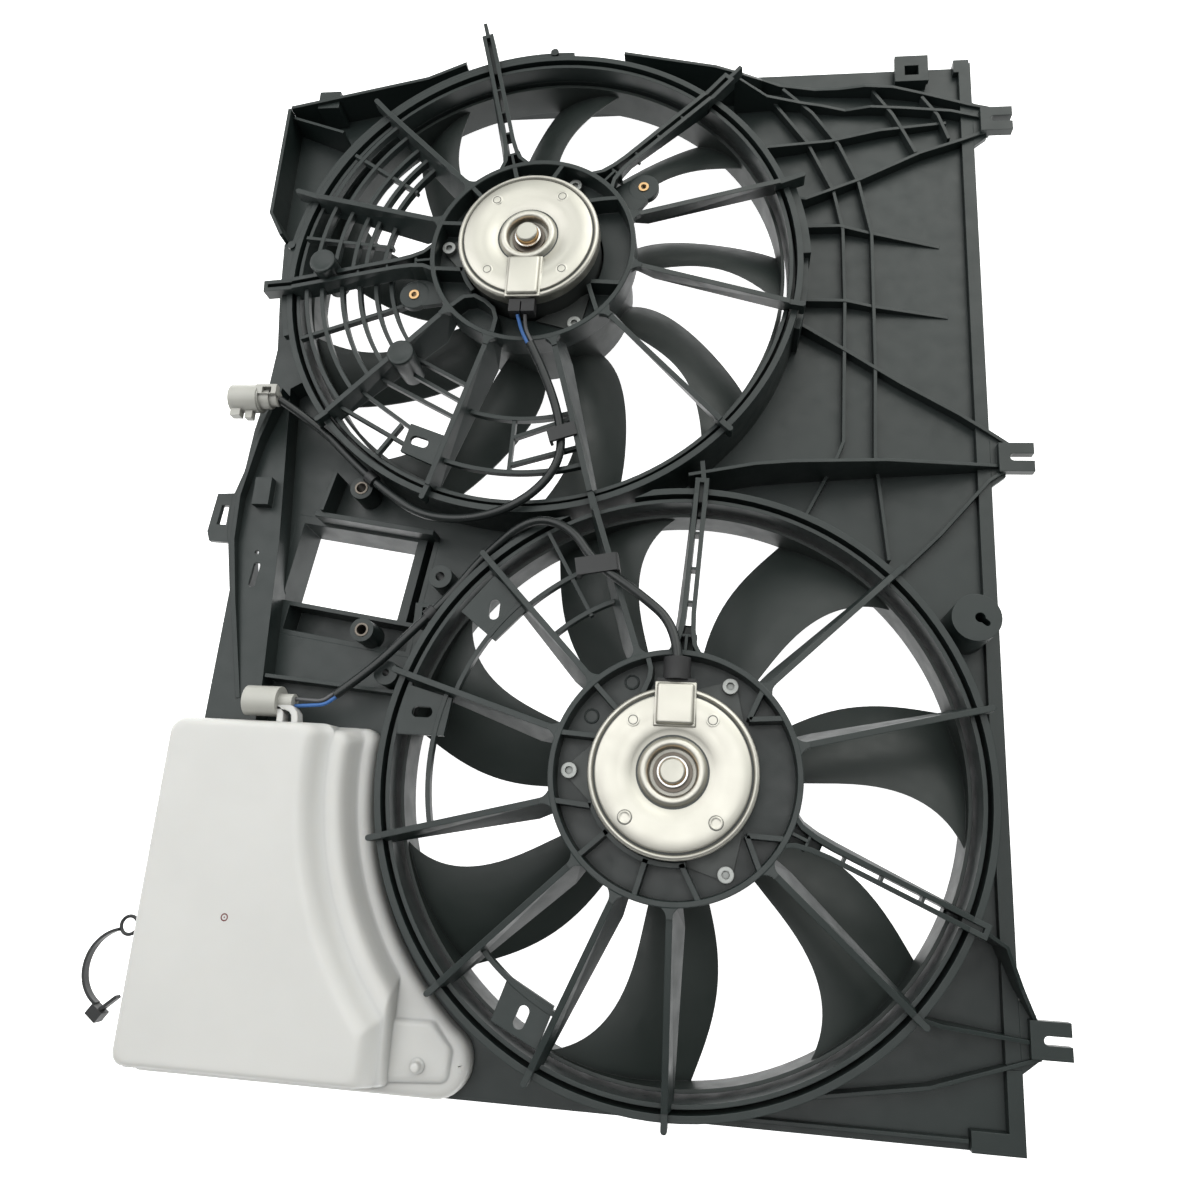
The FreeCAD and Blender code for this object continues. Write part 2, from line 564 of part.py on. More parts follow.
def beam(cx, cy, angle, nose, pin):
    # double stay: tapering block with an open channel and rungs, splayed at the hub
    half = BEAM_W / 2.0
    rail = (BEAM_W - BEAM_SLOT) / 2.0
    splay = [(0.0, BEAM_FOOT / 2.0), (7.0, BEAM_FOOT * 0.31), (16.0, BEAM_FOOT * 0.23),
             (27.0, half)]
    outer, channel = [], []
    for step, w in splay:
        r = STAY_ROOT_R + step
        outer.append((r, w, stay_top(r), HUB_Z - STAY_ROOT_H + 8.0, STAY_LEAN * 0.4))
        channel.append((r, w - rail, stay_top(r) + 1, stay_top(r) - BEAM_SLOT_DEPTH, 0.0))
    outer.append((RIM_IN, half, stay_top(RIM_IN), LIP_Z - STAY_TIP_H + 2.6, STAY_LEAN * 0.2))
    channel.append((RIM_IN - 4, half - rail, STAY_TIP_Z + 2, LIP_Z - 6.0, 0.0))
    tip = STAY_TIP_Z - 0.2
    body = vane(cx, cy, outer)
    body.append(box(cx + RIM_IN - 4, cy - half, LIP_Z + 0.01, cx + nose, cy + half, tip))
    body.append(box(cx + LIP_R + 0.6, cy - half, NOSE_Z, cx + nose, cy + half, tip))
    if pin:
        body.append(box(cx + nose - 1, cy - 1.4, NOSE_Z, cx + nose + pin, cy + 1.4, tip - 1.5))
    cuts = vane(cx, cy, channel)
    cuts.append(box(cx + RIM_IN - 5, cy - half + rail, LIP_Z + 1.6, cx + nose - rail,
                    cy + half - rail, CAP_Z))
    shape = fuse(body).cut(Part.makeCompound(cuts))
    # rungs in the channel and a webbed foot
    rungs = []
    for r, width in ((STAY_ROOT_R + 12.0, 12.0), (102.0, 5.0), (124.0, 5.0), (148.0, 5.0)):
        rungs.append(box(cx + r, cy - width / 2, stay_top(r) - BEAM_SLOT_DEPTH - 0.5,
                         cx + r + 1.6, cy + width / 2, stay_top(r) - 1.2))
    rungs.append(box(cx + STAY_ROOT_R, cy - 0.9, HUB_Z - BEAM_SLOT_DEPTH - 0.5,
                     cx + STAY_ROOT_R + 13.0, cy + 0.9, HUB_Z - 2.5))
    return turned(fuse([shape] + rungs), cx, cy, angle)


def make_stays(cx, cy, singles, beams, others):
    stays = [stay(cx, cy, a, nose) for a, nose in singles]
    stays += [beam(cx, cy, *b) for b in beams]
    rings = [make_guard_ring(x, y) for x, y in COLLAR_AXES]
    trim = Part.makeCompound(rings + [cyl(cx, cy, 0, CAP_Z + 5, HUB_R)] + others)
    keep = []
    for s in stays:
        keep += [b for b in s.cut(trim).Solids if b.Volume > 60.0]
    return keep


def make_hub(cx, cy, webs, screws, ears):
    ring = tube(cx, cy, FLOOR_Z - FLOOR_T, HUB_Z, HUB_R - HUB_T, HUB_R)
    floor = tube(cx, cy, FLOOR_Z - FLOOR_T, FLOOR_Z, CAN_R + MOTOR_FIT, HUB_R - 0.5)
    parts = [ring, floor]
    for a in webs:
        web = box(cx + CAN_R + MOTOR_FIT + 2.0, cy - WEB_T / 2, FLOOR_Z - 1,
                  cx + HUB_R - 1, cy + WEB_T / 2, HUB_Z - 1.5)
        parts.append(turned(web, cx, cy, a))
    # side ears that carry the brass inserts
    for a, r in ears:
        ear = box(cx + HUB_R - 2, cy - 9, FLOOR_Z - FLOOR_T, cx + r, cy + 9, FLOOR_Z + 1.0)
        ear = ear.fuse(cyl(cx + r, cy, FLOOR_Z - FLOOR_T, FLOOR_Z + 1.0, 9.0))
        ear = ear.cut(cyl(cx + r, cy, 0, CAP_Z, INSERT_R))
        ear = ear.cut(cyl(cx, cy, 0, CAP_Z, HUB_R - 2.5))
        parts.append(turned(ear, cx, cy, a))
    hub = fuse(parts)
    cuts = [ear_plate(cx, cy, a) for a in screws]
    for a in screws:
        p = polar(cx, cy, SCREW_PITCH_R, a)
        cuts.append(cyl(p.x, p.y, 0, FLOOR_Z + 1, SCREW_R + 0.1))
        pad = slot(cx + 57.0, cy, FLOOR_Z + 0.01, CAP_Z, 34.0, 22.0, 0)
        cuts.append(turned(pad, cx, cy, a).common(cyl(cx, cy, 0, CAP_Z, HUB_R - HUB_T)))
    return hub.cut(Part.makeCompound(cuts))


INSERT_R = 3.6
INSERT_BORE_R = 1.9
UPPER_EARS = ((38.0, 91.5), (197.6, 87.0))
UPPER_SCREWS = (66.0, 173.0, 301.0)
LOWER_SCREWS = (60.0, 180.0, 300.0)
UPPER_WEBS = (16.0, 36.0, 88.0, 106.0, 132.5, 159.0, 212.0, 232.0, 258.0, 286.0, 330.0, 349.0)
LOWER_WEBS = (15.0, 36.0, 88.0, 110.0, 133.5, 156.0, 204.0, 223.5, 246.0, 270.5, 322.0, 342.0)
GRILLE_Z = LIP_Z + 2.0
GRILLE_T = 2.8
GRILLE_H = 5.0
# radius, angle, foot and top level of the posts on the upper guard
UPPER_POSTS = ((151.0, 179.4, LIP_Z - 10.0, HUB_Z - 2.0), (114.0, 221.5, LIP_Z - 4.0, HUB_Z - 8.0))
POST_R = 7.6


def make_posts():
    posts = []
    for r, a, z0, top in UPPER_POSTS:
        p = polar(UPPER_X, UPPER_Y, r, a)
        post = cyl(p.x, p.y, z0, top, POST_R)
        cup = cyl(p.x, p.y, top - 1.2, top + 1, POST_R - 1.4)
        posts.append(post.cut(cup))
    return posts


def plate_with_slot(points, slot_x, slot_y, angle):
    body = prism(points, GRILLE_Z - 1.0, GRILLE_Z + 2.0)
    return body.cut(slot(slot_x, slot_y, 0, CAP_Z, 13.0, 6.5, angle))


def arc_bar(cx, cy, r, a0, a1):
    return sector(cx, cy, r - GRILLE_T / 2, r + GRILLE_T / 2, a0, a1,
                  GRILLE_Z - GRILLE_H / 2, GRILLE_Z + GRILLE_H / 2)


def radial_bar(cx, cy, r0, r1, angle):
    bar = box(cx + r0, cy - 1.2, GRILLE_Z - GRILLE_H / 2, cx + r1, cy + 1.2,
              GRILLE_Z + GRILLE_H / 2 - 0.5)
    return turned(bar, cx, cy, angle)


def cross_bar(cx, cy, a, b):
    # straight bar between two points given by radius and angle
    p, q = polar(cx, cy, *a), polar(cx, cy, *b)
    length = math.hypot(q.x - p.x, q.y - p.y)
    bar = box(p.x, p.y - 1.2, GRILLE_Z - GRILLE_H / 2, p.x + length, p.y + 1.2,
              GRILLE_Z + GRILLE_H / 2 - 0.5)
    return turned(bar, p.x, p.y, math.degrees(math.atan2(q.y - p.y, q.x - p.x)))


def make_upper_grille(others):
    cx, cy = UPPER_X, UPPER_Y
    parts = []
    for a0, a1, radii in (
            (133.0, 160.5, (114.5, 125.0, 137.0, 152.0, 165.0)),
            (160.5, 184.5, (109.5, 123.0, 132.5, 146.0, 160.0)),
            (184.5, 220.0, (103.5, 114.7, 126.6, 139.4, 154.0, 165.3)),
            (250.5, 286.0, (118.0, 156.0))):
        parts += [arc_bar(cx, cy, r, a0, a1) for r in radii]
    for a, b in (((108.0, 220.0), (102.0, 250.5)), ((120.0, 220.0), (114.0, 250.5)),
                 ((134.7, 220.0), (126.0, 250.5)), ((150.7, 219.0), (145.5, 239.0)),
                 ((168.5, 219.5), (159.5, 250.5)), ((131.2, 268.1), (121.5, 286.0)),
                 ((150.4, 268.2), (142.8, 286.0)), ((118.0, 267.5), (156.0, 267.8))):
        parts.append(cross_bar(cx, cy, a, b))
    for angle, r0 in ((146.3, 111.0), (171.5, 106.0), (199.0, 90.0), (236.0, 147.0)):
        parts.append(radial_bar(cx, cy, r0, DUCT_R + 1.0, angle))
    parts.append(plate_with_slot([(-212.0, 277.0), (-186.0, 267.5), (-191.5, 246.0),
                                  (-217.0, 257.0)], -204.8, 263.7, -18))
    return trim_grille(fuse(parts), others, cx, cy)


def make_lower_grille(others):
    cx, cy = LOWER_X, LOWER_Y
    parts = [
        arc_bar(cx, cy, 143.0, 133.5, 162.0), arc_bar(cx, cy, 147.5, 162.0, 194.0),
        arc_bar(cx, cy, 146.0, 223.5, 246.0), arc_bar(cx, cy, 138.5, 109.0, 133.5),
        arc_bar(cx, cy, 113.0, 109.0, 133.5), radial_bar(cx, cy, 110.0, DUCT_R + 1.0, 120.0)]
    parts.append(plate_with_slot([(-201.0, 103.0), (-164.0, 93.0), (-167.0, 70.0),
                                  (-196.0, 70.0)], -182.0, 84.0, 0))
    parts.append(plate_with_slot([(-145.0, 172.0), (-121.0, 152.0), (-141.0, 130.0),
                                  (-164.0, 148.0)], -143.0, 150.0, 88))
    parts.append(plate_with_slot([(-115.0, -62.0), (-88.0, -76.0), (-96.0, -99.0),
                                  (-123.0, -86.0)], -106.0, -83.0, 70))
    return trim_grille(fuse(parts), others, cx, cy)


def trim_grille(grille, others, cx, cy):
    grille = grille.common(cyl(cx, cy, 0, CAP_Z + 5, DUCT_R))
    return grille.cut(Part.makeCompound(others))


# ---------------------------------------------------------------- motors
def make_can(cx, cy):
    z1 = CAP_Z - CAP_T
    z0 = z1 - CAN_L
    outer = cyl(cx, cy, z0, z1, CAN_R)
    inner = cyl(cx, cy, z0 + CAN_T, z1 + 1, CAN_R - CAN_T)
    can = outer.cut(inner).cut(cyl(cx, cy, z0 - 1, z0 + 3, SHAFT_R + 3.0))
    return can


def ear_plate(cx, cy, angle):
    tip = cyl(cx + SCREW_PITCH_R, cy, FLOOR_Z, FLOOR_Z + 2.0, 4.2)
    tri = prism([(cx + CAN_R - 2, cy - 21), (cx + SCREW_PITCH_R + 1, cy - 4.2),
                 (cx + SCREW_PITCH_R + 1, cy + 4.2), (cx + CAN_R - 2, cy + 21)],
                FLOOR_Z, FLOOR_Z + 2.0)
    plate = tri.fuse(tip).cut(cyl(cx, cy, 0, CAP_Z, CAN_R))
    plate = plate.cut(cyl(cx + SCREW_PITCH_R, cy, 0, CAP_Z, SCREW_R + 0.1))
    return turned(plate, cx, cy, angle)


def make_motor_can(cx, cy, screws):
    parts = [make_can(cx, cy)]
    for a in screws:
        parts.append(ear_plate(cx, cy, a))
    return fuse(parts)


def make_cap(cx, cy, tab_side, tab_r0, tab_r1):
    z0 = CAP_Z - CAP_T
    rim = 1.6
    profile = [
        (11.0, CAP_Z - 8.0), (11.0, CAP_Z + 1.2), (18.5, CAP_Z + 1.2), (19.6, CAP_Z - 0.6),
        (30.0, CAP_Z - 0.6), (34.0, CAP_Z), (CAP_R - 5.0, CAP_Z), (CAP_R - 4.2, CAP_Z - rim),
        (CAP_R, CAP_Z - rim - 1.0), (CAP_R, z0), (CAN_R - CAN_T - 0.05, z0),
        (CAN_R - CAN_T - 0.05, CAP_Z - 4.0), (14.0, CAP_Z - 4.0), (14.0, CAP_Z - 8.0)]
    cap = revolve(cx, cy, profile)
    # step over the can's open end
    cap = cap.cut(tube(cx, cy, z0 - 1, z0, CAN_R - CAN_T - 0.1, CAN_R))
    y0, y1 = cy + tab_side * tab_r0, cy + tab_side * tab_r1
    tab = box(cx - 10.8, min(y0, y1), CAP_Z - 2.4, cx + 10.8, max(y0, y1), CAP_Z + 2.6)
    edges = [e for e in tab.Edges if abs(e.Vertexes[0].Z - e.Vertexes[1].Z) > 1]
    tab = tab.makeFillet(2.5, edges)
    cap = cap.fuse(tab).removeSplitter()
    dimples = []
    for a in (54.0, 130.0, 226.0, 313.0):
        p = polar(cx, cy, 36.0, a)
        dimples.append(tube(p.x, p.y, CAP_Z - 0.7, CAP_Z + 1, 2.6, 3.5))
    return cap.cut(Part.makeCompound(dimples))


def make_rotor(cx, cy):
    z0 = CAP_Z - CAP_T - CAN_L
    shaft = cyl(cx, cy, FAN_FOOT_Z + 9.0, CAP_Z + 1.0, SHAFT_R)
    end = cyl(cx, cy, CAP_Z - 3.0, CAP_Z + 4.0, SHAFT_END_R)
    end = end.makeChamfer(0.8, [e for e in end.Edges if e.Closed and e.BoundBox.ZMin > CAP_Z + 3])
    return shaft.fuse(end).removeSplitter(), z0


def make_armature(cx, cy, z0):
    core = tube(cx, cy, z0 + 10.0, z0 + 34.0, SHAFT_R, 33.0)
    slots = []
    for i in range(10):
        s = box(cx + 22.0, cy - 2.0, z0 + 9.0, cx + 34.0, cy + 2.0, z0 + 35.0)
        slots.append(turned(s, cx, cy, 36.0 * i))
    return core.cut(Part.makeCompound(slots))


def make_commutator(cx, cy, z0):
    return tube(cx, cy, z0 + 36.0, z0 + 45.0, SHAFT_R, 12.0)


def make_magnets(cx, cy, z0):
    ring = tube(cx, cy, z0 + 8.0, z0 + 36.0, 35.5, CAN_R - CAN_T)
    gap = box(cx - 6.0, cy - 60.0, z0, cx + 6.0, cy + 60.0, z0 + 50.0)
    gap2 = box(cx - 60.0, cy - 6.0, z0, cx + 60.0, cy + 6.0, z0 + 50.0)
    return ring.cut(gap.fuse(gap2))


def make_brush_card(cx, cy, z0):
    card = tube(cx, cy, z0 + 37.5, z0 + 40.0, 14.0, CAN_R - CAN_T - 0.5)
    holders = []
    for a in (0, 90, 180, 270):
        h = box(cx + 14.0, cy - 5.0, z0 + 39.0, cx + 30.0, cy + 5.0, z0 + 46.0)
        holders.append(turned(h, cx, cy, a))
    card = fuse([card] + holders)
    bores = []
    for a in (0, 90, 180, 270):
        b = box(cx + 10.0, cy - 3.5, z0 + 40.2, cx + 26.0, cy + 3.5, z0 + 44.5)
        bores.append(turned(b, cx, cy, a))
    return card.cut(Part.makeCompound(bores))


def make_brushes(cx, cy, z0):
    blocks = []
    for a in (0, 90, 180, 270):
        b = box(cx + 12.4, cy - 3.4, z0 + 40.3, cx + 24.0, cy + 3.4, z0 + 44.4)
        b = b.cut(cyl(cx, cy, z0, CAP_Z, 12.4))
        blocks.append(turned(b, cx, cy, a))
    return Part.makeCompound(blocks)


def make_bearings(cx, cy, z0):
    low = tube(cx, cy, z0, z0 + 7.0, SHAFT_R + SHAFT_CLEAR, SHAFT_R + 3.0)
    seat = tube(cx, cy, CAP_Z - 8.0, CAP_Z - 3.6, SHAFT_R + SHAFT_CLEAR, 11.0)
    return Part.makeCompound([low, seat])


def make_grommet_upper(cx, cy):
    y1 = cy - CAP_R - 0.2
    y0 = y1 - 9.0
    z = CAP_Z - 5.0
    body = box(cx - 8.5, y0, z - 4.0, cx + 8.5, y1, z + 4.0)
    return body.cut(box(cx - 0.9, y0 - 1, z - 5, cx - 0.1, y0 + 7, z + 5))


def make_grommet_lower(cx, cy):
    y0 = cy + CAP_R + 2.2
    z = CAP_Z - 6.0
    flange = box(cx - 11.0, y0, z - 6.0, cx + 11.0, y0 + 2.6, z + 4.0)
    neck = Part.makeCylinder(7.8, 13.0, V(cx, y0 + 2.0, z), V(0, 1, 0))
    return flange.fuse(neck).removeSplitter()


# ---------------------------------------------------------------- fans
def make_fan(cx, cy, count, first_tip, drop, sections):
    z_top = BAND_Z + BAND_H
    band = tube(cx, cy, BAND_Z, z_top, BAND_R - BAND_T, BAND_R)
    hub_top = FLOOR_Z - FLOOR_T - FAN_CLEAR
    cup = cyl(cx, cy, FAN_FOOT_Z, hub_top, FAN_HUB_R)
    cup = cup.cut(cyl(cx, cy, FAN_FOOT_Z + 3.0, hub_top + 1, FAN_HUB_R - FAN_HUB_T))
    boss = cyl(cx, cy, FAN_FOOT_Z, FAN_FOOT_Z + 20.0, 12.0)
    cup = cup.fuse(boss).cut(cyl(cx, cy, FAN_FOOT_Z - 1, hub_top, SHAFT_R))
    cup = cup.cut(cyl(cx, cy, FAN_FOOT_Z - 1, FAN_FOOT_Z + 6.0, NUT_R + 0.4))
    blades = []
    for i in range(count):
        tip = first_tip - i * 360.0 / count
        blades.append(make_blade(cx, cy, tip, drop, sections))
    keep = tube(cx, cy, 0, CAP_Z, FAN_HUB_R - 1.0, BAND_R - BAND_T / 2)
    trimmed = [b.common(keep) for b in blades]
    return fuse([cup, band] + trimmed)


def make_blade(cx, cy, tip, drop, sections):
    # loft through cambered sections of radius, sweep from the tip angle, and width in degrees
    wires = []
    mid_z = BLADE_MID_Z
    for r, sweep, width in sections:
        half = math.radians(width) * r / 2.0
        rise = drop / 2.0 * min(1.0, 0.75 + r / 500.0)
        pts = []
        for t in (-1.0, -0.4, 0.3, 1.0):
            camber = 3.0 * (1 - t * t)
            thick = BLADE_T / 2.0 * (1.0 - 0.55 * abs(t) ** 3)
            pts.append((half * t, mid_z - rise * t + camber, thick))
        # chord laid along the circle of its radius
        upper = [polar(cx, cy, r, math.degrees(y / r), z + h) for y, z, h in pts]
        lower = [polar(cx, cy, r, math.degrees(y / r), z - h) for y, z, h in reversed(pts)]
        top = Part.BSplineCurve()
        top.interpolate(upper)
        low = Part.BSplineCurve()
        low.interpolate(lower)
        wire = Part.Wire([top.toShape(), Part.makeLine(upper[-1], lower[0]), low.toShape(),
                          Part.makeLine(lower[-1], upper[0])])
        wire.rotate(V(cx, cy, 0), V(0, 0, 1), tip + sweep)
        wires.append(wire)
    return Part.makeLoft(wires, True, False)


NUT_R = 8.5
# count, tip angle of the first blade, rise over its chord, and its sections
UPPER_BLADES = (9, 76.0, 19.0, (
    (57.0, 26.0, 20.0), (100.0, 22.0, 19.5), (130.0, 16.0, 15.5), (155.0, 10.0, 16.0),
    (BAND_R + 8.0, 4.0, 17.0)))
LOWER_BLADES = (7, 53.0, 21.0, (
    (57.0, 15.0, 28.0), (95.0, 14.0, 27.0), (132.0, 10.5, 24.5), (155.0, 6.0, 25.0),
    (BAND_R + 8.0, -2.0, 34.0)))


def make_nut(cx, cy):
    pts = [polar(cx, cy, NUT_R, 60.0 * i) for i in range(6)]
    nut = prism([(p.x, p.y) for p in pts], FAN_FOOT_Z + 0.5, FAN_FOOT_Z + 6.0)
    return nut.cut(cyl(cx, cy, 0, CAP_Z, SHAFT_R - 1.0)).fuse(
        cyl(cx, cy, FAN_FOOT_Z + 2.0, FAN_FOOT_Z + 9.0, SHAFT_R - 0.5)).removeSplitter()


# ---------------------------------------------------------------- small hardware
def make_screw(x, y):
    shank = cyl(x, y, FLOOR_Z - FLOOR_T - 2.0, FLOOR_Z + 2.0, SCREW_R)
    head = cyl(x, y, FLOOR_Z + 2.0, FLOOR_Z + 5.6, SCREW_HEAD_R)
    head = head.cut(cyl(x, y, FLOOR_Z + 3.6, FLOOR_Z + 6.0, 2.2))
    return shank.fuse(head).removeSplitter()


def make_screws():
    screws = []
    for cx, cy, angles in ((UPPER_X, UPPER_Y, UPPER_SCREWS), (LOWER_X, LOWER_Y, LOWER_SCREWS)):
        for a in angles:
            p = polar(cx, cy, SCREW_PITCH_R, a)
            screws.append(make_screw(p.x, p.y))
    return Part.makeCompound(screws)


def make_inserts():
    out = []
    for a, r in UPPER_EARS:
        p = polar(UPPER_X, UPPER_Y, r, a)
        out.append(tube(p.x, p.y, FLOOR_Z - FLOOR_T, FLOOR_Z + 1.6, INSERT_BORE_R, INSERT_R))
    return Part.makeCompound(out)


def make_sleeves():
    out = []
    for x, y in MODULE_BOSSES:
        out.append(tube(x, y, BASE_Z, SHELF_Z + 4.4, SLEEVE_BORE_R, SLEEVE_R))
    return Part.makeCompound(out)


# ---------------------------------------------------------------- coolant tank
TANK_Z = LIP_Z - 2.0
TANK_FLANGE_T = 3.0
TANK_TOP_Y = 77.0
TANK_BOTTOM_Y = -130.0
TANK_LEFT_X = -351.0
TANK_FLANGE_R = 194.0
TANK_FOOT_R = 210.0
TANK_FACE_R = 229.0
TANK_EDGE_R = 5.0
TANK_FOOT_X = -187.0
TANK_FACE_X = -200.0


def tank_wire(radius, right_x, draft, z):
    # left, top and bottom sides straight, right side following the lower collar
    left = TANK_LEFT_X + draft
    top = TANK_TOP_Y - draft
    bottom = TANK_BOTTOM_Y + draft
    up_angle = 180.0 - math.degrees(math.asin((top - LOWER_Y) / radius))
    up = polar(LOWER_X, LOWER_Y, radius, up_angle, z)
    mid = polar(LOWER_X, LOWER_Y, radius, 200.0, z)
    low = polar(LOWER_X, LOWER_Y, radius, 217.0, z)
    a = V(left, bottom, z)
    b = V(right_x, bottom, z)
    d = V(left, top, z)
    return Part.Wire([Part.makeLine(a, b), Part.makeLine(b, low),
                      Part.Arc(low, mid, up).toShape(),
                      Part.makeLine(up, d), Part.makeLine(d, a)])


def make_tank():
    low = PLATE_Z + SEAT_GAP
    foot = tank_wire(TANK_FOOT_R, TANK_FOOT_X, 0.0, low)
    head = tank_wire(TANK_FACE_R, TANK_FACE_X, 4.0, TANK_Z)
    body = Part.makeLoft([foot, head], True, True)
    rounded = [e for e in body.Edges if e.BoundBox.ZMax > TANK_Z - 0.1]
    body = body.makeFillet(TANK_EDGE_R, rounded)
    # flange that reaches round the lower collar, ending in a rounded lobe
    flange = Part.Face(tank_wire(TANK_FLANGE_R + 1.0, -158.0, 0.0, low))
    flange = flange.extrude(V(0, 0, TANK_FLANGE_T))
    lobe = cyl(-160.0, -113.0, low, low + TANK_FLANGE_T, 17.0)
    post = cyl(-170.0, -117.0, low, low + 12.0, 9.0)
    pip = cyl(-170.0, -117.0, low + 11.0, low + 17.0, 4.6)
    body = fuse([body, flange, lobe, post, pip])
    hooks = []
    for x in (-278.0, -268.0):
        hook = box(x, TANK_TOP_Y - 9, TANK_Z - 20.0, x + 5.0, TANK_TOP_Y + 8.5, TANK_Z - 8.0)
        hook = hook.cut(box(x - 1, TANK_TOP_Y - 2, TANK_Z - 21.0, x + 6.0, TANK_TOP_Y + 5.0,
                            TANK_Z - 11.5))
        hooks.append(hook)
    body = fuse([body] + hooks)
    bore = cyl(LOWER_X, LOWER_Y, 0, CAP_Z, TANK_FLANGE_R - 1.0)
    # the raised shelf of the panel stands under the upper left corner
    shelf = box(TANK_LEFT_X - 10, 15.0, 0, -300.5, TANK_TOP_Y + 4.0, SHELF_Z + SEAT_GAP)
    return body.cut(bore.fuse(shelf))


# ---------------------------------------------------------------- leads
def route(points, dia, name):
    # centre line with straight runs joined by tangent arcs
    pts = [V(*p) for p in points]
    corners = []
    for i in range(1, len(pts) - 1):
        a = pts[i - 1] - pts[i]
        b = pts[i + 1] - pts[i]
        la, lb = a.Length, b.Length
        a.normalize()
        b.normalize()
        turn = math.pi - a.getAngle(b)
        if turn < 0.02:
            corners.append(None)
            continue
        reach = 0.45 * min(la, lb)
        radius = reach / math.tan(turn / 2.0)
        start = pts[i] + a * reach
        end = pts[i] + b * reach
        bis = a + b
        bis.normalize()
        centre = pts[i] + bis * (radius / math.cos(turn / 2.0))
        mid = centre - bis * radius
        corners.append((start, mid, end))
        print("   %s corner %d run %.1f %.1f turn %.0f radius %.1f (%.1f dia)" % (
            name, i, la, lb, math.degrees(turn), radius, radius / dia))
    edges = []
    at = pts[0]
    for i, corner in enumerate(corners):
        if corner is None:
            edges.append(Part.makeLine(at, pts[i + 1]))
            at = pts[i + 1]
            continue
        start, mid, end = corner
        edges.append(Part.makeLine(at, start))
        edges.append(Part.Arc(start, mid, end).toShape())
        at = end
    edges.append(Part.makeLine(at, pts[-1]))
    path = Part.Wire(edges)
    first = pts[1] - pts[0]
    circle = Part.Wire([Part.makeCircle(dia / 2.0, pts[0], first)])
    print("   %s length %.1f" % (name, path.Length))
    return path.makePipeShell([circle], True, True)


UPPER_SLEEVE = (
    (-131.5, 325.5, 87.5), (-119.0, 303.0, 80.0), (-108.0, 270.0, 73.0), (-109.0, 245.0, 72.0),
    (-128.0, 222.0, 71.5), (-160.0, 209.5, 67.5), (-198.0, 213.0, 61.0), (-226.0, 231.0, 57.0),
    (-252.0, 252.5, 54.5), (-280.0, 279.5, 54.0), (-309.0, 296.0, 65.0))
UPPER_BLUE = ((-139.5, 341.7, 95.0), (-136.9, 332.4, 90.0), (-132.7, 324.8, 87.5))
UPPER_GREY = ((-134.5, 341.7, 95.0), (-134.5, 333.8, 90.0), (-130.3, 326.2, 87.5))
LOWER_SLEEVE = (
    (-26.5, 117.3, 94.0), (-28.0, 137.0, 92.0), (-52.0, 158.0, 87.5), (-80.0, 178.0, 80.0),
    (-97.0, 203.0, 75.0), (-124.0, 211.0, 70.5), (-156.0, 188.5, 57.0), (-176.0, 163.5, 52.5),
    (-201.0, 137.5, 51.0), (-224.0, 112.5, 50.5), (-246.0, 95.0, 50.5))
LOWER_BLACK = ((-246.9, 96.1, 50.5), (-254.0, 90.6, 50.5), (-271.5, 91.0, 52.0))
LOWER_BLUE = ((-245.1, 93.9, 50.5), (-252.2, 88.4, 50.5), (-271.5, 86.5, 52.0))


def rod(p0, p1, r):
    a, b = V(*p0), V(*p1)
    return Part.makeCylinder(r, (b - a).Length, a, b - a)


def make_upper_plug():
    # round barrel, collar ring, neck, latch loop and two keyed lugs
    x, y, z = -309.0, 297.0, 66.0
    body = rod((x - 33.0, y - 1.0, z), (x - 13.0, y - 1.0, z), PLUG_R)
    ring = rod((x - 16.0, y - 1.0, z), (x - 12.0, y - 1.0, z), PLUG_R - 0.8)
    step = rod((x - 13.0, y - 1.0, z), (x - 5.0, y - 1.0, z), PLUG_R - 2.8)
    neck = rod((x - 6.0, y - 1.0, z), (x, y - 1.0, z), PLUG_NECK_R)
    latch = box(x - 14.0, y - 1.0, z + 3.0, x + 1.0, y + 6.0, z + 8.5)
    latch = latch.cut(box(x - 9.0, y - 0.5, z + 2.0, x - 2.5, y + 4.0, z + 9.0))
    lug = box(x - 32.0, y - 15.0, z - 2.0, x - 25.0, y - 7.0, z + 4.0)
    key = box(x - 22.0, y - 16.0, z - 3.0, x - 17.0, y - 7.0, z + 2.0)
    body = fuse([body, ring, step, neck, latch, lug, key])
    return body.cut(rod((x - 34.0, y - 1.0, z), (x - 20.0, y - 1.0, z), PLUG_R - 1.8))


def make_lower_plug():
    x, y, z = -271.5, 88.8, 52.5
    neck = rod((x, y, z), (x - 10.0, y, z), PLUG_NECK_R)
    body = rod((x - 9.0, y, z), (x - 31.5, y, z), PLUG_R)
    key = box(x - 29.0, y - 3.0, z - PLUG_R - 1.2, x - 12.0, y + 3.0, z)
    body = fuse([neck, body, key])
    return body.cut(rod((x - 32.0, y, z), (x - 20.0, y, z), PLUG_R - 1.8))


def run_clip(points, i):
    # push-in clip round the middle of one straight run of a sleeve
    a, b = points[i], points[i + 1]
    mid = [(p + q) / 2.0 for p, q in zip(a, b)]
    return tube_clip(mid[0], mid[1], mid[2], math.degrees(math.atan2(b[1] - a[1], b[0] - a[0])))


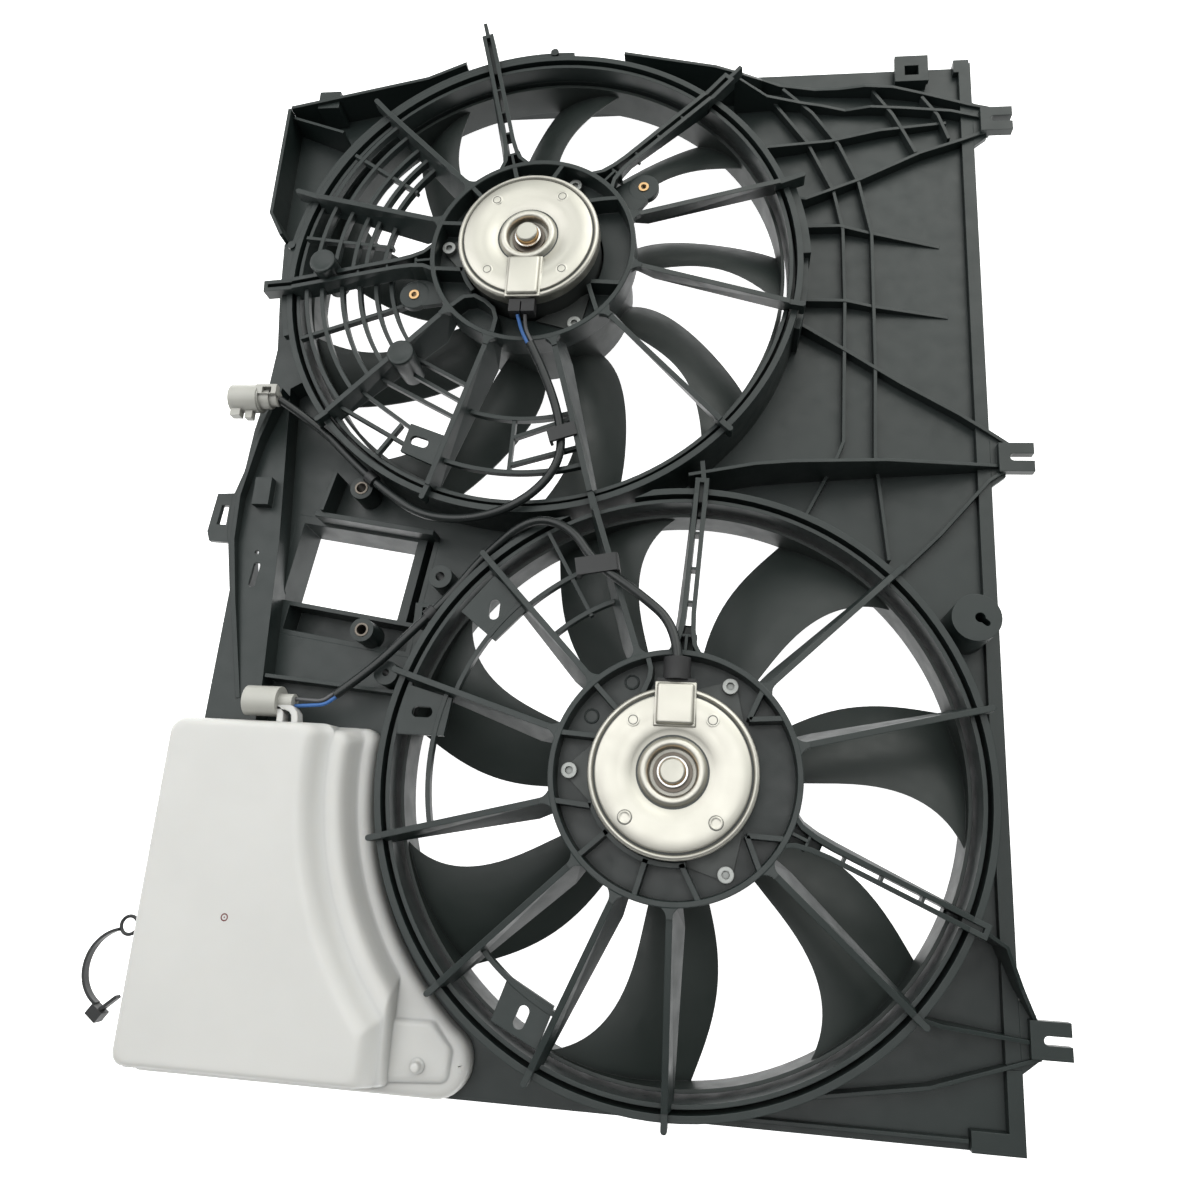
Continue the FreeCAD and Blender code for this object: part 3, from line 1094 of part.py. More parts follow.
def make_clips(others):
    # flat straps from a stay over the sleeve, each with a lip on the far side
    x, y = -107.7, 266.6
    up = box(x - 9.0, y - 4.6, 76.6, x + 9.5, y + 4.6, 78.8)
    up = up.fuse(box(x - 9.0, y - 4.6, 71.5, x - 7.0, y + 4.6, 77.0))
    up = turned(up, x, y, 18)
    x, y = -80.0, 176.0
    low = box(x - 11.0, y - 6.0, 84.0, x + 14.0, y + 5.0, 86.2)
    low = low.fuse(box(x + 13.0, y - 6.0, 75.0, x + 15.2, y + 5.0, 85.0))
    low = low.fuse(box(x - 11.0, y - 6.0, 78.0, x - 8.8, y + 5.0, 85.0))
    low = turned(low, x, y, 10)
    clips = [up, low, run_clip(UPPER_SLEEVE, 7), run_clip(LOWER_SLEEVE, 7)]
    block = Part.makeCompound(others)
    return [max(c.cut(block).Solids, key=lambda s: s.Volume) for c in clips]


def tube_clip(x, y, z, angle):
    r = SLEEVE_D / 2.0 + 0.25
    a = math.radians(angle)
    d = (math.cos(a) * 3.5, math.sin(a) * 3.5)
    outer = rod((x - d[0], y - d[1], z), (x + d[0], y + d[1], z), r + 1.5)
    inner = rod((x - 2 * d[0], y - 2 * d[1], z), (x + 2 * d[0], y + 2 * d[1], z), r)
    return outer.cut(inner)


TIE_X, TIE_Y, TIE_R = -367.0, -80.0, 24.0
TIE_Z = PLATE_Z + 8.0


def make_cable_tie():
    strap = sector(TIE_X, TIE_Y, TIE_R - 0.9, TIE_R + 0.9, 104.0, 240.0, TIE_Z, TIE_Z + 5.0)
    head = box(-382.5, -109.5, TIE_Z - 1.5, -373.5, -102.5, TIE_Z + 6.5)
    tail = prism([(-376.0, -103.0), (-366.5, -95.0), (-365.3, -96.5), (-374.5, -104.5)],
                 TIE_Z, TIE_Z + 5.0)
    return fuse([strap, turned(head, -378.0, -106.0, -35), tail])


def make_tie_ring():
    ring = Part.makeTorus(5.5, 1.1, V(-367.0, -54.0, TIE_Z + 2.5), V(0, 0, 1))
    return ring


def make_panel_pieces():
    rim = make_rim()
    flanges = make_flanges()
    duct = make_duct()
    bosses = make_bosses()
    flanges = flanges.cut(bosses)
    duct = duct.cut(bosses.fuse(flanges))
    duct = max(duct.Solids, key=lambda s: s.Volume)
    rim = rim.cut(duct)
    forks = make_forks()
    lugs = make_lugs()
    floor = make_floor([bosses, duct, lugs, flanges])
    save("shroud_panel", floor)
    save("panel_rim", rim)
    save("panel_flanges", flanges)
    save("window_duct", duct)
    save("mounting_bosses", bosses)
    save("mounting_forks", forks)
    save("panel_lugs", lugs)
    return [floor, flanges, duct, bosses, forks, lugs]


def make_motor(name, cx, cy, screws, tab):
    rotor, z0 = make_rotor(cx, cy)
    save(name + "_motor_can", make_motor_can(cx, cy, screws))
    save(name + "_motor_cap", make_cap(cx, cy, *tab))
    save(name + "_motor_shaft", rotor)
    save(name + "_armature", make_armature(cx, cy, z0))
    save(name + "_commutator", make_commutator(cx, cy, z0))
    save(name + "_magnets", make_magnets(cx, cy, z0))
    save(name + "_brush_card", make_brush_card(cx, cy, z0))
    save(name + "_brushes", make_brushes(cx, cy, z0))
    save(name + "_bearings", make_bearings(cx, cy, z0))


def main():
    os.makedirs("parts", exist_ok=True)
    panel = make_panel_pieces()

    upper_collar = make_upper_collar().cut(panel[1])
    upper_collar = max(upper_collar.Solids, key=lambda s: s.Volume)
    lower_collar = make_collar(LOWER_X, LOWER_Y).cut(cyl(UPPER_X, UPPER_Y, 0, CAP_Z, SKIRT_R))
    ribs = make_ribs(panel + [upper_collar])
    save("panel_ribs", Part.makeCompound(ribs))
    save("upper_collar", upper_collar)
    save("lower_collar", lower_collar)
    save("upper_guard_ring", make_guard_ring(UPPER_X, UPPER_Y))
    save("lower_guard_ring", make_guard_ring(LOWER_X, LOWER_Y))

    upper_hub = make_hub(UPPER_X, UPPER_Y, UPPER_WEBS, UPPER_SCREWS, UPPER_EARS)
    lower_hub = make_hub(LOWER_X, LOWER_Y, LOWER_WEBS, LOWER_SCREWS, ())
    inserts = make_inserts()
    posts = make_posts()
    around = [upper_collar, lower_collar] + ribs
    upper = make_stays(UPPER_X, UPPER_Y, UPPER_STAYS, UPPER_BEAMS,
                       around + posts + [upper_hub, inserts])
    lower = make_stays(LOWER_X, LOWER_Y, LOWER_STAYS, LOWER_BEAMS, around + upper + [lower_hub])
    save("upper_guard_hub", upper_hub)
    save("lower_guard_hub", lower_hub)
    save("upper_guard_stays", Part.makeCompound(upper))
    save("lower_guard_stays", Part.makeCompound(lower))
    save("upper_guard_posts", Part.makeCompound(posts))
    save("upper_guard_grille", make_upper_grille(upper + posts))
    save("lower_guard_grille", make_lower_grille(lower))

    make_motor("upper", UPPER_X, UPPER_Y, UPPER_SCREWS, (-1, 17.0, 46.0))
    make_motor("lower", LOWER_X, LOWER_Y, LOWER_SCREWS, (1, 25.0, 49.6))
    save("upper_fan", make_fan(UPPER_X, UPPER_Y, *UPPER_BLADES))
    save("lower_fan", make_fan(LOWER_X, LOWER_Y, *LOWER_BLADES))
    save("upper_fan_nut", make_nut(UPPER_X, UPPER_Y))
    save("lower_fan_nut", make_nut(LOWER_X, LOWER_Y))
    save("motor_screws", make_screws())
    save("brass_inserts", inserts)
    save("module_sleeves", make_sleeves())

    cords = {}
    for name, points, dia in (
            ("upper_harness_sleeve", UPPER_SLEEVE, SLEEVE_D),
            ("upper_lead_blue", UPPER_BLUE, WIRE_D),
            ("upper_lead_grey", UPPER_GREY, WIRE_D),
            ("lower_harness_sleeve", LOWER_SLEEVE, SLEEVE_D),
            ("lower_lead_black", LOWER_BLACK, WIRE_D),
            ("lower_lead_blue", LOWER_BLUE, WIRE_D)):
        cords[name] = route(points, dia, name)
    for name, cord in cords.items():
        if "_lead_" in name:
            cord = cord.cut(cords[name.split("_")[0] + "_harness_sleeve"])
        save(name, cord)
    loom = Part.makeCompound(list(cords.values()))
    save("upper_grommet", make_grommet_upper(UPPER_X, UPPER_Y).cut(loom))
    save("lower_grommet", make_grommet_lower(LOWER_X, LOWER_Y).cut(loom))
    save("upper_connector", make_upper_plug().cut(loom))
    lower_plug = make_lower_plug().cut(loom)
    save("lower_connector", lower_plug)
    save("coolant_tank", make_tank().cut(lower_plug))
    clips = make_clips([loom, upper_collar, lower_collar] + upper + lower)
    save("harness_clips", Part.makeCompound(clips))
    tie = make_cable_tie()
    save("cable_tie", tie)
    save("tie_ring", make_tie_ring().cut(tie))


main()
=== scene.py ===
import math

import bmesh
import bpy
from mathutils import Matrix, Vector


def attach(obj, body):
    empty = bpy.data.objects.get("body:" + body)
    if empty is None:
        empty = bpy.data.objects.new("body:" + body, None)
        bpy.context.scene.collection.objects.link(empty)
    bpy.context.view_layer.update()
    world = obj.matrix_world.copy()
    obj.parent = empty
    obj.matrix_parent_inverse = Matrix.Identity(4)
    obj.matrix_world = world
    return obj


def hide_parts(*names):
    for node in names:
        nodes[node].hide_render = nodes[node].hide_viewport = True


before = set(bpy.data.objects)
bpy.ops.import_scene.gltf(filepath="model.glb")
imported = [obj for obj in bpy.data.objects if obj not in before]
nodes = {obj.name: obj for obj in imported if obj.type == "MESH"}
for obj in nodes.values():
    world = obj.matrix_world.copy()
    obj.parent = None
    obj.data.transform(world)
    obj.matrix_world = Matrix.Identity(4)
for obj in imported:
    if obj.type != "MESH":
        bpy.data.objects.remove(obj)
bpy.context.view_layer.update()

# the drawing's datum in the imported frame, in metres
PLAN_X, PLAN_Y = 0.09845, 0.2367

# ------------------------------------------------------------------ camera
scene = bpy.context.scene
scene.view_settings.view_transform = "Standard"
cam_data = bpy.data.cameras.new("photo_camera")
cam_data.lens = 28.636
cam_data.sensor_width = 36.0
cam_data.clip_start = 0.01
camera = bpy.data.objects.new("photo_camera", cam_data)
camera.location = (PLAN_X, -PLAN_Y, 0.630)
camera.rotation_euler = (math.radians(16.018), math.radians(6.797), math.radians(3.580))
scene.collection.objects.link(camera)
scene.camera = camera


# ------------------------------------------------------------------ materials
def surface(name, colour, rough, metallic=0.0, grain=0.12, grain_size=0.0006, mottle=0.10,
            mottle_size=0.05, edge_highlight=1.35, bevel=0.0007, rough_spread=0.08,
            subsurface=0.0, spec=0.5, painted_shade=0.55, reach=0.006):
    # sizes in metres; grain, mottle, the painted edge highlight and the painted corner shade are
    # shares, reach is how far the painted shade spreads
    mat = bpy.data.materials.new(name)
    mat.use_nodes = True
    tree = mat.node_tree
    new = tree.nodes.new
    link = tree.links.new
    bsdf = tree.nodes["Principled BSDF"]
    bsdf.inputs["Metallic"].default_value = metallic
    bsdf.inputs["Specular IOR Level"].default_value = spec
    if subsurface:
        bsdf.inputs["Subsurface Weight"].default_value = subsurface
        bsdf.inputs["Subsurface Radius"].default_value = (0.006, 0.005, 0.004)
        bsdf.inputs["Subsurface Scale"].default_value = 1.0
    coords = new("ShaderNodeTexCoord")

    def noise(size, detail=3.0):
        n = new("ShaderNodeTexNoise")
        n.inputs["Scale"].default_value = 1.0 / size
        n.inputs["Detail"].default_value = detail
        link(coords.outputs["Object"], n.inputs["Vector"])
        return n.outputs["Fac"]

    def span(value, low, high, out_low, out_high):
        m = new("ShaderNodeMapRange")
        m.inputs["From Min"].default_value = low
        m.inputs["From Max"].default_value = high
        m.inputs["To Min"].default_value = out_low
        m.inputs["To Max"].default_value = out_high
        link(value, m.inputs["Value"])
        return m.outputs["Result"]

    def blend(fac, a, b, mode="MIX"):
        m = new("ShaderNodeMix")
        m.data_type = "RGBA"
        m.blend_type = mode
        for socket, value in ((m.inputs[0], fac), (m.inputs[6], a), (m.inputs[7], b)):
            if hasattr(value, "is_output"):
                link(value, socket)
            else:
                socket.default_value = value
        return m.outputs[2]

    dark = tuple(c * (1.0 - mottle) for c in colour) + (1.0,)
    light = tuple(min(c * (1.0 + mottle), 1.0) for c in colour) + (1.0,)
    body = blend(span(noise(mottle_size), 0.3, 0.7, 0.0, 1.0), dark, light)
    # rounded edges, made slightly paler by a painted highlight
    round_edge = new("ShaderNodeBevel")
    round_edge.samples = 4
    round_edge.inputs["Radius"].default_value = bevel
    geometry = new("ShaderNodeNewGeometry")
    dot = new("ShaderNodeVectorMath")
    dot.operation = "DOT_PRODUCT"
    link(round_edge.outputs["Normal"], dot.inputs[0])
    link(geometry.outputs["Normal"], dot.inputs[1])
    edge_highlight_mask = span(dot.outputs["Value"], 0.995, 0.80, 0.0, 1.0)
    edge_highlight_colour = tuple(min(c * edge_highlight + 0.004, 1.0) for c in colour) + (1.0,)
    body = blend(edge_highlight_mask, body, edge_highlight_colour)
    # painted shade: colour darkened in corners and crevices by ambient occlusion
    corner = new("ShaderNodeAmbientOcclusion")
    corner.samples = 6
    corner.inputs["Distance"].default_value = reach
    corner_shade = span(corner.outputs["AO"], 0.15, 0.9, 1.0 - painted_shade, 1.0)
    body = blend(1.0, body, corner_shade, "MULTIPLY")
    link(body, bsdf.inputs["Base Color"])
    # fine grain over the whole surface, and roughness that wanders
    fine = noise(grain_size, 4.0)
    link(span(noise(0.012, 4.0), 0.25, 0.75, rough - rough_spread, rough + rough_spread),
         bsdf.inputs["Roughness"])
    bump = new("ShaderNodeBump")
    bump.inputs["Strength"].default_value = grain
    bump.inputs["Distance"].default_value = 0.0003
    link(fine, bump.inputs["Height"])
    link(round_edge.outputs["Normal"], bump.inputs["Normal"])
    link(bump.outputs["Normal"], bsdf.inputs["Normal"])
    return mat


# each finish below also sets how strong its painted edge highlight and painted corner shade are
SHROUD = surface("moulded_shroud", (0.014, 0.021, 0.020), 0.40, grain=0.16, mottle=0.10,
                 edge_highlight=1.9, bevel=0.0006, spec=0.5, painted_shade=0.35)
FAN = surface("moulded_fan", (0.017, 0.023, 0.021), 0.46, grain=0.12, mottle=0.08, edge_highlight=1.4,
              bevel=0.0005, spec=0.5)
NICKEL = surface("satin_nickel", (0.56, 0.545, 0.49), 0.42, metallic=1.0, grain=0.05,
                 grain_size=0.0004, mottle=0.05, edge_highlight=1.2, bevel=0.0008, rough_spread=0.05,
                 painted_shade=0.75, reach=0.004)
PAINTED = surface("painted_can", (0.055, 0.060, 0.058), 0.40, metallic=0.3, grain=0.08,
                  edge_highlight=1.6)
STEEL = surface("zinc_steel", (0.56, 0.57, 0.56), 0.30, metallic=1.0, grain=0.06,
                grain_size=0.0005, edge_highlight=1.1)
BRIGHT = surface("bright_steel", (0.72, 0.72, 0.70), 0.20, metallic=1.0, grain=0.04,
                 edge_highlight=1.1, bevel=0.0004)
BRASS = surface("brass", (0.62, 0.40, 0.20), 0.30, metallic=1.0, grain=0.06, edge_highlight=1.2,
                bevel=0.0004)
COPPER = surface("copper", (0.72, 0.36, 0.22), 0.30, metallic=1.0, grain=0.06, edge_highlight=1.2)
ZINC = surface("dark_zinc", (0.32, 0.33, 0.32), 0.38, metallic=0.8, grain=0.08, edge_highlight=1.4)
SHAFT = surface("ground_shaft", (0.50, 0.49, 0.44), 0.42, metallic=1.0, grain=0.05, edge_highlight=1.2,
                bevel=0.0006, painted_shade=0.7, reach=0.003)
BRONZE = surface("sintered_bronze", (0.20, 0.175, 0.15), 0.45, metallic=0.9, grain=0.3)
FERRITE = surface("ferrite", (0.040, 0.040, 0.044), 0.62, grain=0.25, edge_highlight=1.3)
CARD = surface("brush_card", (0.20, 0.13, 0.06), 0.60, grain=0.2, grain_size=0.001)
CARBON = surface("carbon", (0.022, 0.022, 0.024), 0.50, grain=0.3, edge_highlight=1.5)
TANK = surface("tank_plastic", (0.62, 0.615, 0.598), 0.42, grain=0.08, grain_size=0.0012,
               mottle=0.02, edge_highlight=1.02, bevel=0.0016, subsurface=0.15, painted_shade=0.45, reach=0.014)
GREY = surface("connector_grey", (0.46, 0.455, 0.42), 0.40, grain=0.10, mottle=0.06, edge_highlight=1.3)
BLACK = surface("black_plastic", (0.018, 0.019, 0.020), 0.42, grain=0.12, edge_highlight=1.9,
                bevel=0.0004)
RUBBER = surface("rubber", (0.014, 0.014, 0.015), 0.58, grain=0.25, edge_highlight=1.6)
BLUE = surface("wire_blue", (0.035, 0.13, 0.38), 0.38, grain=0.08, edge_highlight=1.1, bevel=0.0002)
WIRE_GREY = surface("wire_grey", (0.10, 0.10, 0.105), 0.40, grain=0.08, edge_highlight=1.1, bevel=0.0002)
SLEEVE = surface("sleeve_pvc", (0.010, 0.013, 0.013), 0.30, grain=0.18, grain_size=0.0012,
                 mottle=0.2, edge_highlight=1.5, bevel=0.0003)
MAROON = surface("maroon_mark", (0.16, 0.03, 0.03), 0.45, grain=0.1, edge_highlight=1.0)

FINISH = {
    SHROUD: ["shroud_panel", "panel_rim", "panel_flanges", "window_duct", "mounting_bosses",
             "mounting_forks", "panel_lugs", "panel_ribs", "upper_collar", "lower_collar",
             "upper_guard_ring", "lower_guard_ring", "upper_guard_hub", "lower_guard_hub",
             "upper_guard_stays", "lower_guard_stays", "upper_guard_grille",
             "lower_guard_grille", "upper_guard_posts"],
    FAN: ["upper_fan", "lower_fan"],
    NICKEL: ["upper_motor_cap", "lower_motor_cap"],
    PAINTED: ["upper_motor_can", "lower_motor_can"],
    STEEL: ["upper_fan_nut", "lower_fan_nut", "upper_armature", "lower_armature"],
    ZINC: ["motor_screws"],
    SHAFT: ["upper_motor_shaft", "lower_motor_shaft"],
    BRASS: ["brass_inserts"],
    COPPER: ["upper_commutator", "lower_commutator"],
    BRONZE: ["upper_bearings", "lower_bearings", "module_sleeves"],
    FERRITE: ["upper_magnets", "lower_magnets"],
    CARD: ["upper_brush_card", "lower_brush_card"],
    CARBON: ["upper_brushes", "lower_brushes"],
    TANK: ["coolant_tank"],
    GREY: ["upper_connector", "lower_connector"],
    RUBBER: ["upper_grommet", "lower_grommet"],
    BLACK: ["harness_clips", "cable_tie", "tie_ring"],
    BLUE: ["upper_lead_blue", "lower_lead_blue"],
    WIRE_GREY: ["upper_lead_grey", "lower_lead_black"],
}
for mat, names in FINISH.items():
    for name in names:
        obj = nodes[name]
        for slot in obj.material_slots:
            slot.material = mat
        if not obj.material_slots:
            obj.data.materials.append(mat)


# ------------------------------------------------------------------ harness sleeves
SLEEVE_D = 0.0058


def sleeve(name, node, points):
    curve = bpy.data.curves.new(name, "CURVE")
    curve.dimensions = "3D"
    curve.bevel_depth = SLEEVE_D / 2.0
    curve.bevel_resolution = 6
    curve.resolution_u = 16
    curve.use_fill_caps = True
    spline = curve.splines.new("NURBS")
    spline.points.add(len(points) - 1)
    for p, co in zip(spline.points, points):
        p.co = (co[0] / 1000.0 + PLAN_X, co[1] / 1000.0 - PLAN_Y, co[2] / 1000.0, 1.0)
    spline.order_u = 3
    spline.use_endpoint_u = True
    hose = bpy.data.objects.new(name, curve)
    scene.collection.objects.link(hose)
    curve.materials.append(SLEEVE)
    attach(hose, "shroud")
    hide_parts(node)


sleeve("upper_sleeve", "upper_harness_sleeve", (
    (-131.5, 325.5, 87.5), (-119.0, 303.0, 80.0), (-108.0, 270.0, 73.0), (-109.0, 245.0, 72.0),
    (-128.0, 222.0, 71.5), (-160.0, 209.5, 67.5), (-198.0, 213.0, 61.0), (-226.0, 231.0, 57.0),
    (-252.0, 252.5, 54.5), (-280.0, 279.5, 54.0), (-309.0, 296.0, 65.0)))
sleeve("lower_sleeve", "lower_harness_sleeve", (
    (-26.5, 117.3, 94.0), (-28.0, 137.0, 92.0), (-52.0, 158.0, 87.5), (-80.0, 178.0, 80.0),
    (-97.0, 203.0, 75.0), (-124.0, 211.0, 70.5), (-156.0, 188.5, 57.0), (-176.0, 163.5, 52.5),
    (-201.0, 137.5, 51.0), (-224.0, 112.5, 50.5), (-246.0, 95.0, 50.5)))


# ------------------------------------------------------------------ mesh helpers
MM = 0.001
UPPER = (-136.5, 398.5)
LOWER = (-26.5, 52.5)
CAP_Z = 100.0
TANK_Z = 62.0


def at(x, y, z):
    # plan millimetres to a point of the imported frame
    return Vector((x * MM + PLAN_X, y * MM - PLAN_Y, z * MM))


def around(centre, r, angle, z):
    a = math.radians(angle)
    return at(centre[0] + r * math.cos(a), centre[1] + r * math.sin(a), z)


def lathe(bm, centre, profile, z0, segments=96):
    # turn a radius and height profile, in millimetres, round an upright axis
    rings = []
    for r, z in profile:
        if r < 0.01:
            rings.append([bm.verts.new(at(centre[0], centre[1], z0 + z))])
        else:
            rings.append([bm.verts.new(around(centre, r, 360.0 * i / segments, z0 + z))
                          for i in range(segments)])
    for low, high in zip(rings[:-1], rings[1:]):
        for i in range(segments):
            j = (i + 1) % segments
            if len(low) == 1:
                bm.faces.new((low[0], high[i], high[j]))
            elif len(high) == 1:
                bm.faces.new((low[i], low[j], high[0]))
            else:
                bm.faces.new((low[i], low[j], high[j], high[i]))


def block(bm, centre, size, bevel, taper=1.0):
    # softened block about its centre, in plan millimetres
    made = bmesh.ops.create_cube(bm, size=1.0)["verts"]
    for v in made:
        k = taper if v.co.z > 0 else 1.0
        v.co = Vector((v.co.x * size[0] * k, v.co.y * size[1] * k, v.co.z * size[2])) * MM
    bmesh.ops.transform(bm, matrix=Matrix.Translation(at(*centre)), verts=made)
    edges = {e for v in made for e in v.link_edges}
    bmesh.ops.bevel(bm, geom=list(edges), offset=bevel * MM, segments=3, profile=0.6,
                    affect="EDGES")


def piece(name, bm, mat, body, replaces=(), sharp=38.0):
    bmesh.ops.recalc_face_normals(bm, faces=bm.faces)
    mesh = bpy.data.meshes.new(name)
    bm.to_mesh(mesh)
    bm.free()
    for poly in mesh.polygons:
        poly.use_smooth = True
    mesh.set_sharp_from_angle(angle=math.radians(sharp))
    mesh.materials.append(mat)
    obj = bpy.data.objects.new(name, mesh)
    scene.collection.objects.link(obj)
    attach(obj, body)
    if replaces:
        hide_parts(*replaces)


def strip(bm, centre, path, thick, z0, z1):
    # upright wall along points of angle and radius about a hub
    ribbon(bm, [(centre[0] + r * math.cos(math.radians(a)),
                 centre[1] + r * math.sin(math.radians(a))) for a, r in path], thick, z0, z1)


def ribbon(bm, path, thick, z0, z1):
    # upright wall along plan points
    pts = [Vector(p) for p in path]
    rows = []
    for i, p in enumerate(pts):
        run = pts[min(i + 1, len(pts) - 1)] - pts[max(i - 1, 0)]
        side = Vector((-run.y, run.x)).normalized() * thick / 2.0
        rows.append([bm.verts.new(at(q.x, q.y, z)) for q, z in (
            (p + side, z0), (p + side, z1), (p - side, z1), (p - side, z0))])
    for a, b in zip(rows[:-1], rows[1:]):
        for i in range(4):
            j = (i + 1) % 4
            bm.faces.new((a[i], a[j], b[j], b[i]))
    bm.faces.new(rows[0])
    bm.faces.new(rows[-1])


def plate(bm, points, z0, z1):
    # flat plate of plan points between two levels
    low = [bm.verts.new(at(x, y, z0)) for x, y in points]
    high = [bm.verts.new(at(x, y, z1)) for x, y in points]
    n = len(points)
    bm.faces.new(low)
    bm.faces.new(high)
    for i in range(n):
        j = (i + 1) % n
        bm.faces.new((low[i], low[j], high[j], high[i]))


# ------------------------------------------------------------------ guard hubs
HUB_Z = 86.0
FLOOR_Z = 72.0
MOTOR_HOLE_R = 47.3
HUB_WALL = 3.5
WEB_T = 2.9
EAR_BORE_R = 3.65
EAR_R = 10.6


def flare(bm, centre, angle, r0):
    # the root of a stay spreads smoothly into the hub's ring
    pts = []
    for step in range(7):
        t = step / 6.0
        pts.append((r0 + 7.5 * t, 1.7 + 5.0 * (1.0 - t) ** 2.4))
    outline = [(r, w) for r, w in pts] + [(r, -w) for r, w in reversed(pts)]
    a = math.radians(angle)
    spun = [(centre[0] + r * math.cos(a) - w * math.sin(a),
             centre[1] + r * math.sin(a) + w * math.cos(a)) for r, w in outline]
    plate(bm, spun, HUB_Z - 4.0, HUB_Z - 0.3)


def guard_hub(name, centre, radius, webs, stays, discs, ears, node):
    # ring and floor round the motor, with pocket webs, stay roots, small discs and insert ears
    bm = bmesh.new()
    top = HUB_Z
    lathe(bm, centre, [
        (MOTOR_HOLE_R, FLOOR_Z - 3.0), (MOTOR_HOLE_R, FLOOR_Z - 0.1),
        (MOTOR_HOLE_R + 1.3, FLOOR_Z), (radius - HUB_WALL, FLOOR_Z),
        (radius - HUB_WALL, top - 0.5), (radius - HUB_WALL + 0.4, top), (radius - 0.4, top),
        (radius, top - 0.5), (radius, FLOOR_Z - 3.0), (MOTOR_HOLE_R, FLOOR_Z - 3.0)], 0.0, 144)
    for path in webs:
        strip(bm, centre, path, WEB_T, FLOOR_Z - 1.0, top - 0.4)
    for angle in stays:
        flare(bm, centre, angle, radius - 1.5)
    for angle, r, size in discs:
        spot = (centre[0] + r * math.cos(math.radians(angle)),
                centre[1] + r * math.sin(math.radians(angle)))
        lathe(bm, spot, [(0.0, 0.5), (size - 0.8, 0.5), (size - 0.4, 0.9), (size, 0.9),
                         (size + 0.2, -0.5)], FLOOR_Z, 32)
    for angle, r in ears:
        a = math.radians(angle)
        spot = (centre[0] + r * math.cos(a), centre[1] + r * math.sin(a))
        lathe(bm, spot, [(EAR_BORE_R, -3.0), (EAR_BORE_R, 1.0), (EAR_R - 0.6, 1.0),
                         (EAR_R, 0.6), (EAR_R, -3.0), (EAR_BORE_R, -3.0)], FLOOR_Z, 40)
        outline = ((radius - 1.5, -15.0), (r - 3.9, -10.4), (r - 3.9, 10.4), (radius - 1.5, 13.0))
        plate(bm, [(centre[0] + q * math.cos(a) - w * math.sin(a),
                    centre[1] + q * math.sin(a) + w * math.cos(a)) for q, w in outline],
              FLOOR_Z - 3.0, FLOOR_Z + 0.95)
    piece(name, bm, SHROUD, "shroud", (node,), 32.0)


guard_hub("lower_hub_moulding", LOWER, 72.0, (
    ((29.5, 69.5), (38.2, 53.0)), ((38.6, 53.0), (45.5, 69.5)),
    ((104.8, 69.5), (104.6, 62.0), (106.5, 57.0), (113.5, 49.5)),
    ((133.8, 69.5), (133.8, 49.0)), ((162.5, 69.5), (156.5, 49.0)),
    ((195.0, 69.5), (203.5, 50.0)), ((222.7, 69.5), (222.7, 49.0)),
    ((254.0, 69.5), (254.0, 49.0)), ((283.5, 69.5), (277.0, 49.0)),
    ((314.5, 69.5), (322.8, 52.0)), ((323.0, 52.0), (332.5, 69.5)),
    tuple((200.0 + 8.0 * i, 49.6) for i in range(11))),
    (15.0, 45.0, 109.0, 133.5, 162.0, 194.0, 223.5, 246.0, 270.5, 318.0),
    ((117.0, 60.5, 4.2), (147.0, 60.0, 4.2)), (), "lower_guard_hub")
guard_hub("upper_hub_moulding", UPPER, 70.6, (
    ((34.0, 68.5), (39.0, 60.0), (46.5, 50.0)), ((76.0, 68.5), (82.5, 49.0)),
    ((105.0, 68.5), (105.0, 49.0)), ((132.5, 68.5), (132.5, 49.0)),
    ((161.5, 68.5), (155.5, 49.0)), ((192.0, 68.5), (198.5, 49.0)),
    ((220.0, 68.5), (220.0, 57.0), (225.0, 50.8), (235.0, 49.2), (244.0, 51.0),
     (249.5, 57.0), (251.5, 68.5)),
    ((314.0, 68.5), (324.8, 49.5)), ((336.0, 68.5), (328.0, 49.5)),
    tuple((196.0 + 6.0 * i, 49.2) for i in range(5))),
    (20.0, 133.0, 160.5, 220.0, 250.5, 286.0, 317.5, 349.0), (),
    ((38.0, 91.5), (197.6, 87.0)), "upper_guard_hub")


# ------------------------------------------------------------------ pressed motor caps
CAP_PROFILE = [
    (10.6, -7.9), (10.6, -5.0), (13.1, -5.0), (13.4, -1.2), (13.9, 0.4), (14.9, 1.2), (16.2, 1.5),
    (17.5, 1.2), (18.4, 0.2), (18.9, -1.3), (19.7, -1.9), (20.7, -1.6), (23.4, -1.2),
    (24.2, -0.7), (29.5, -0.6), (32.0, -0.35), (34.5, 0.0), (42.2, 0.0), (43.1, -0.5),
    (43.4, -1.6), (44.1, -1.7), (44.6, -0.8), (45.4, -0.25), (46.3, -0.35), (47.1, -1.1),
    (47.55, -2.4), (47.55, -8.9), (44.1, -8.9)]
DIMPLE_PROFILE = [(0.0, 0.10), (1.7, 0.12), (2.3, 0.04), (2.6, -0.1), (2.9, 0.12), (3.4, 0.22),
                  (3.8, -0.1)]
HOLE_PROFILE = [(0.0, 0.05), (1.5, 0.06), (2.5, 0.25), (2.9, 0.55), (3.4, 0.5), (3.9, -0.1)]


CAP_MARK_R = 36.0
CAP_MARKS = (54.0, 130.0, 226.0, 313.0)


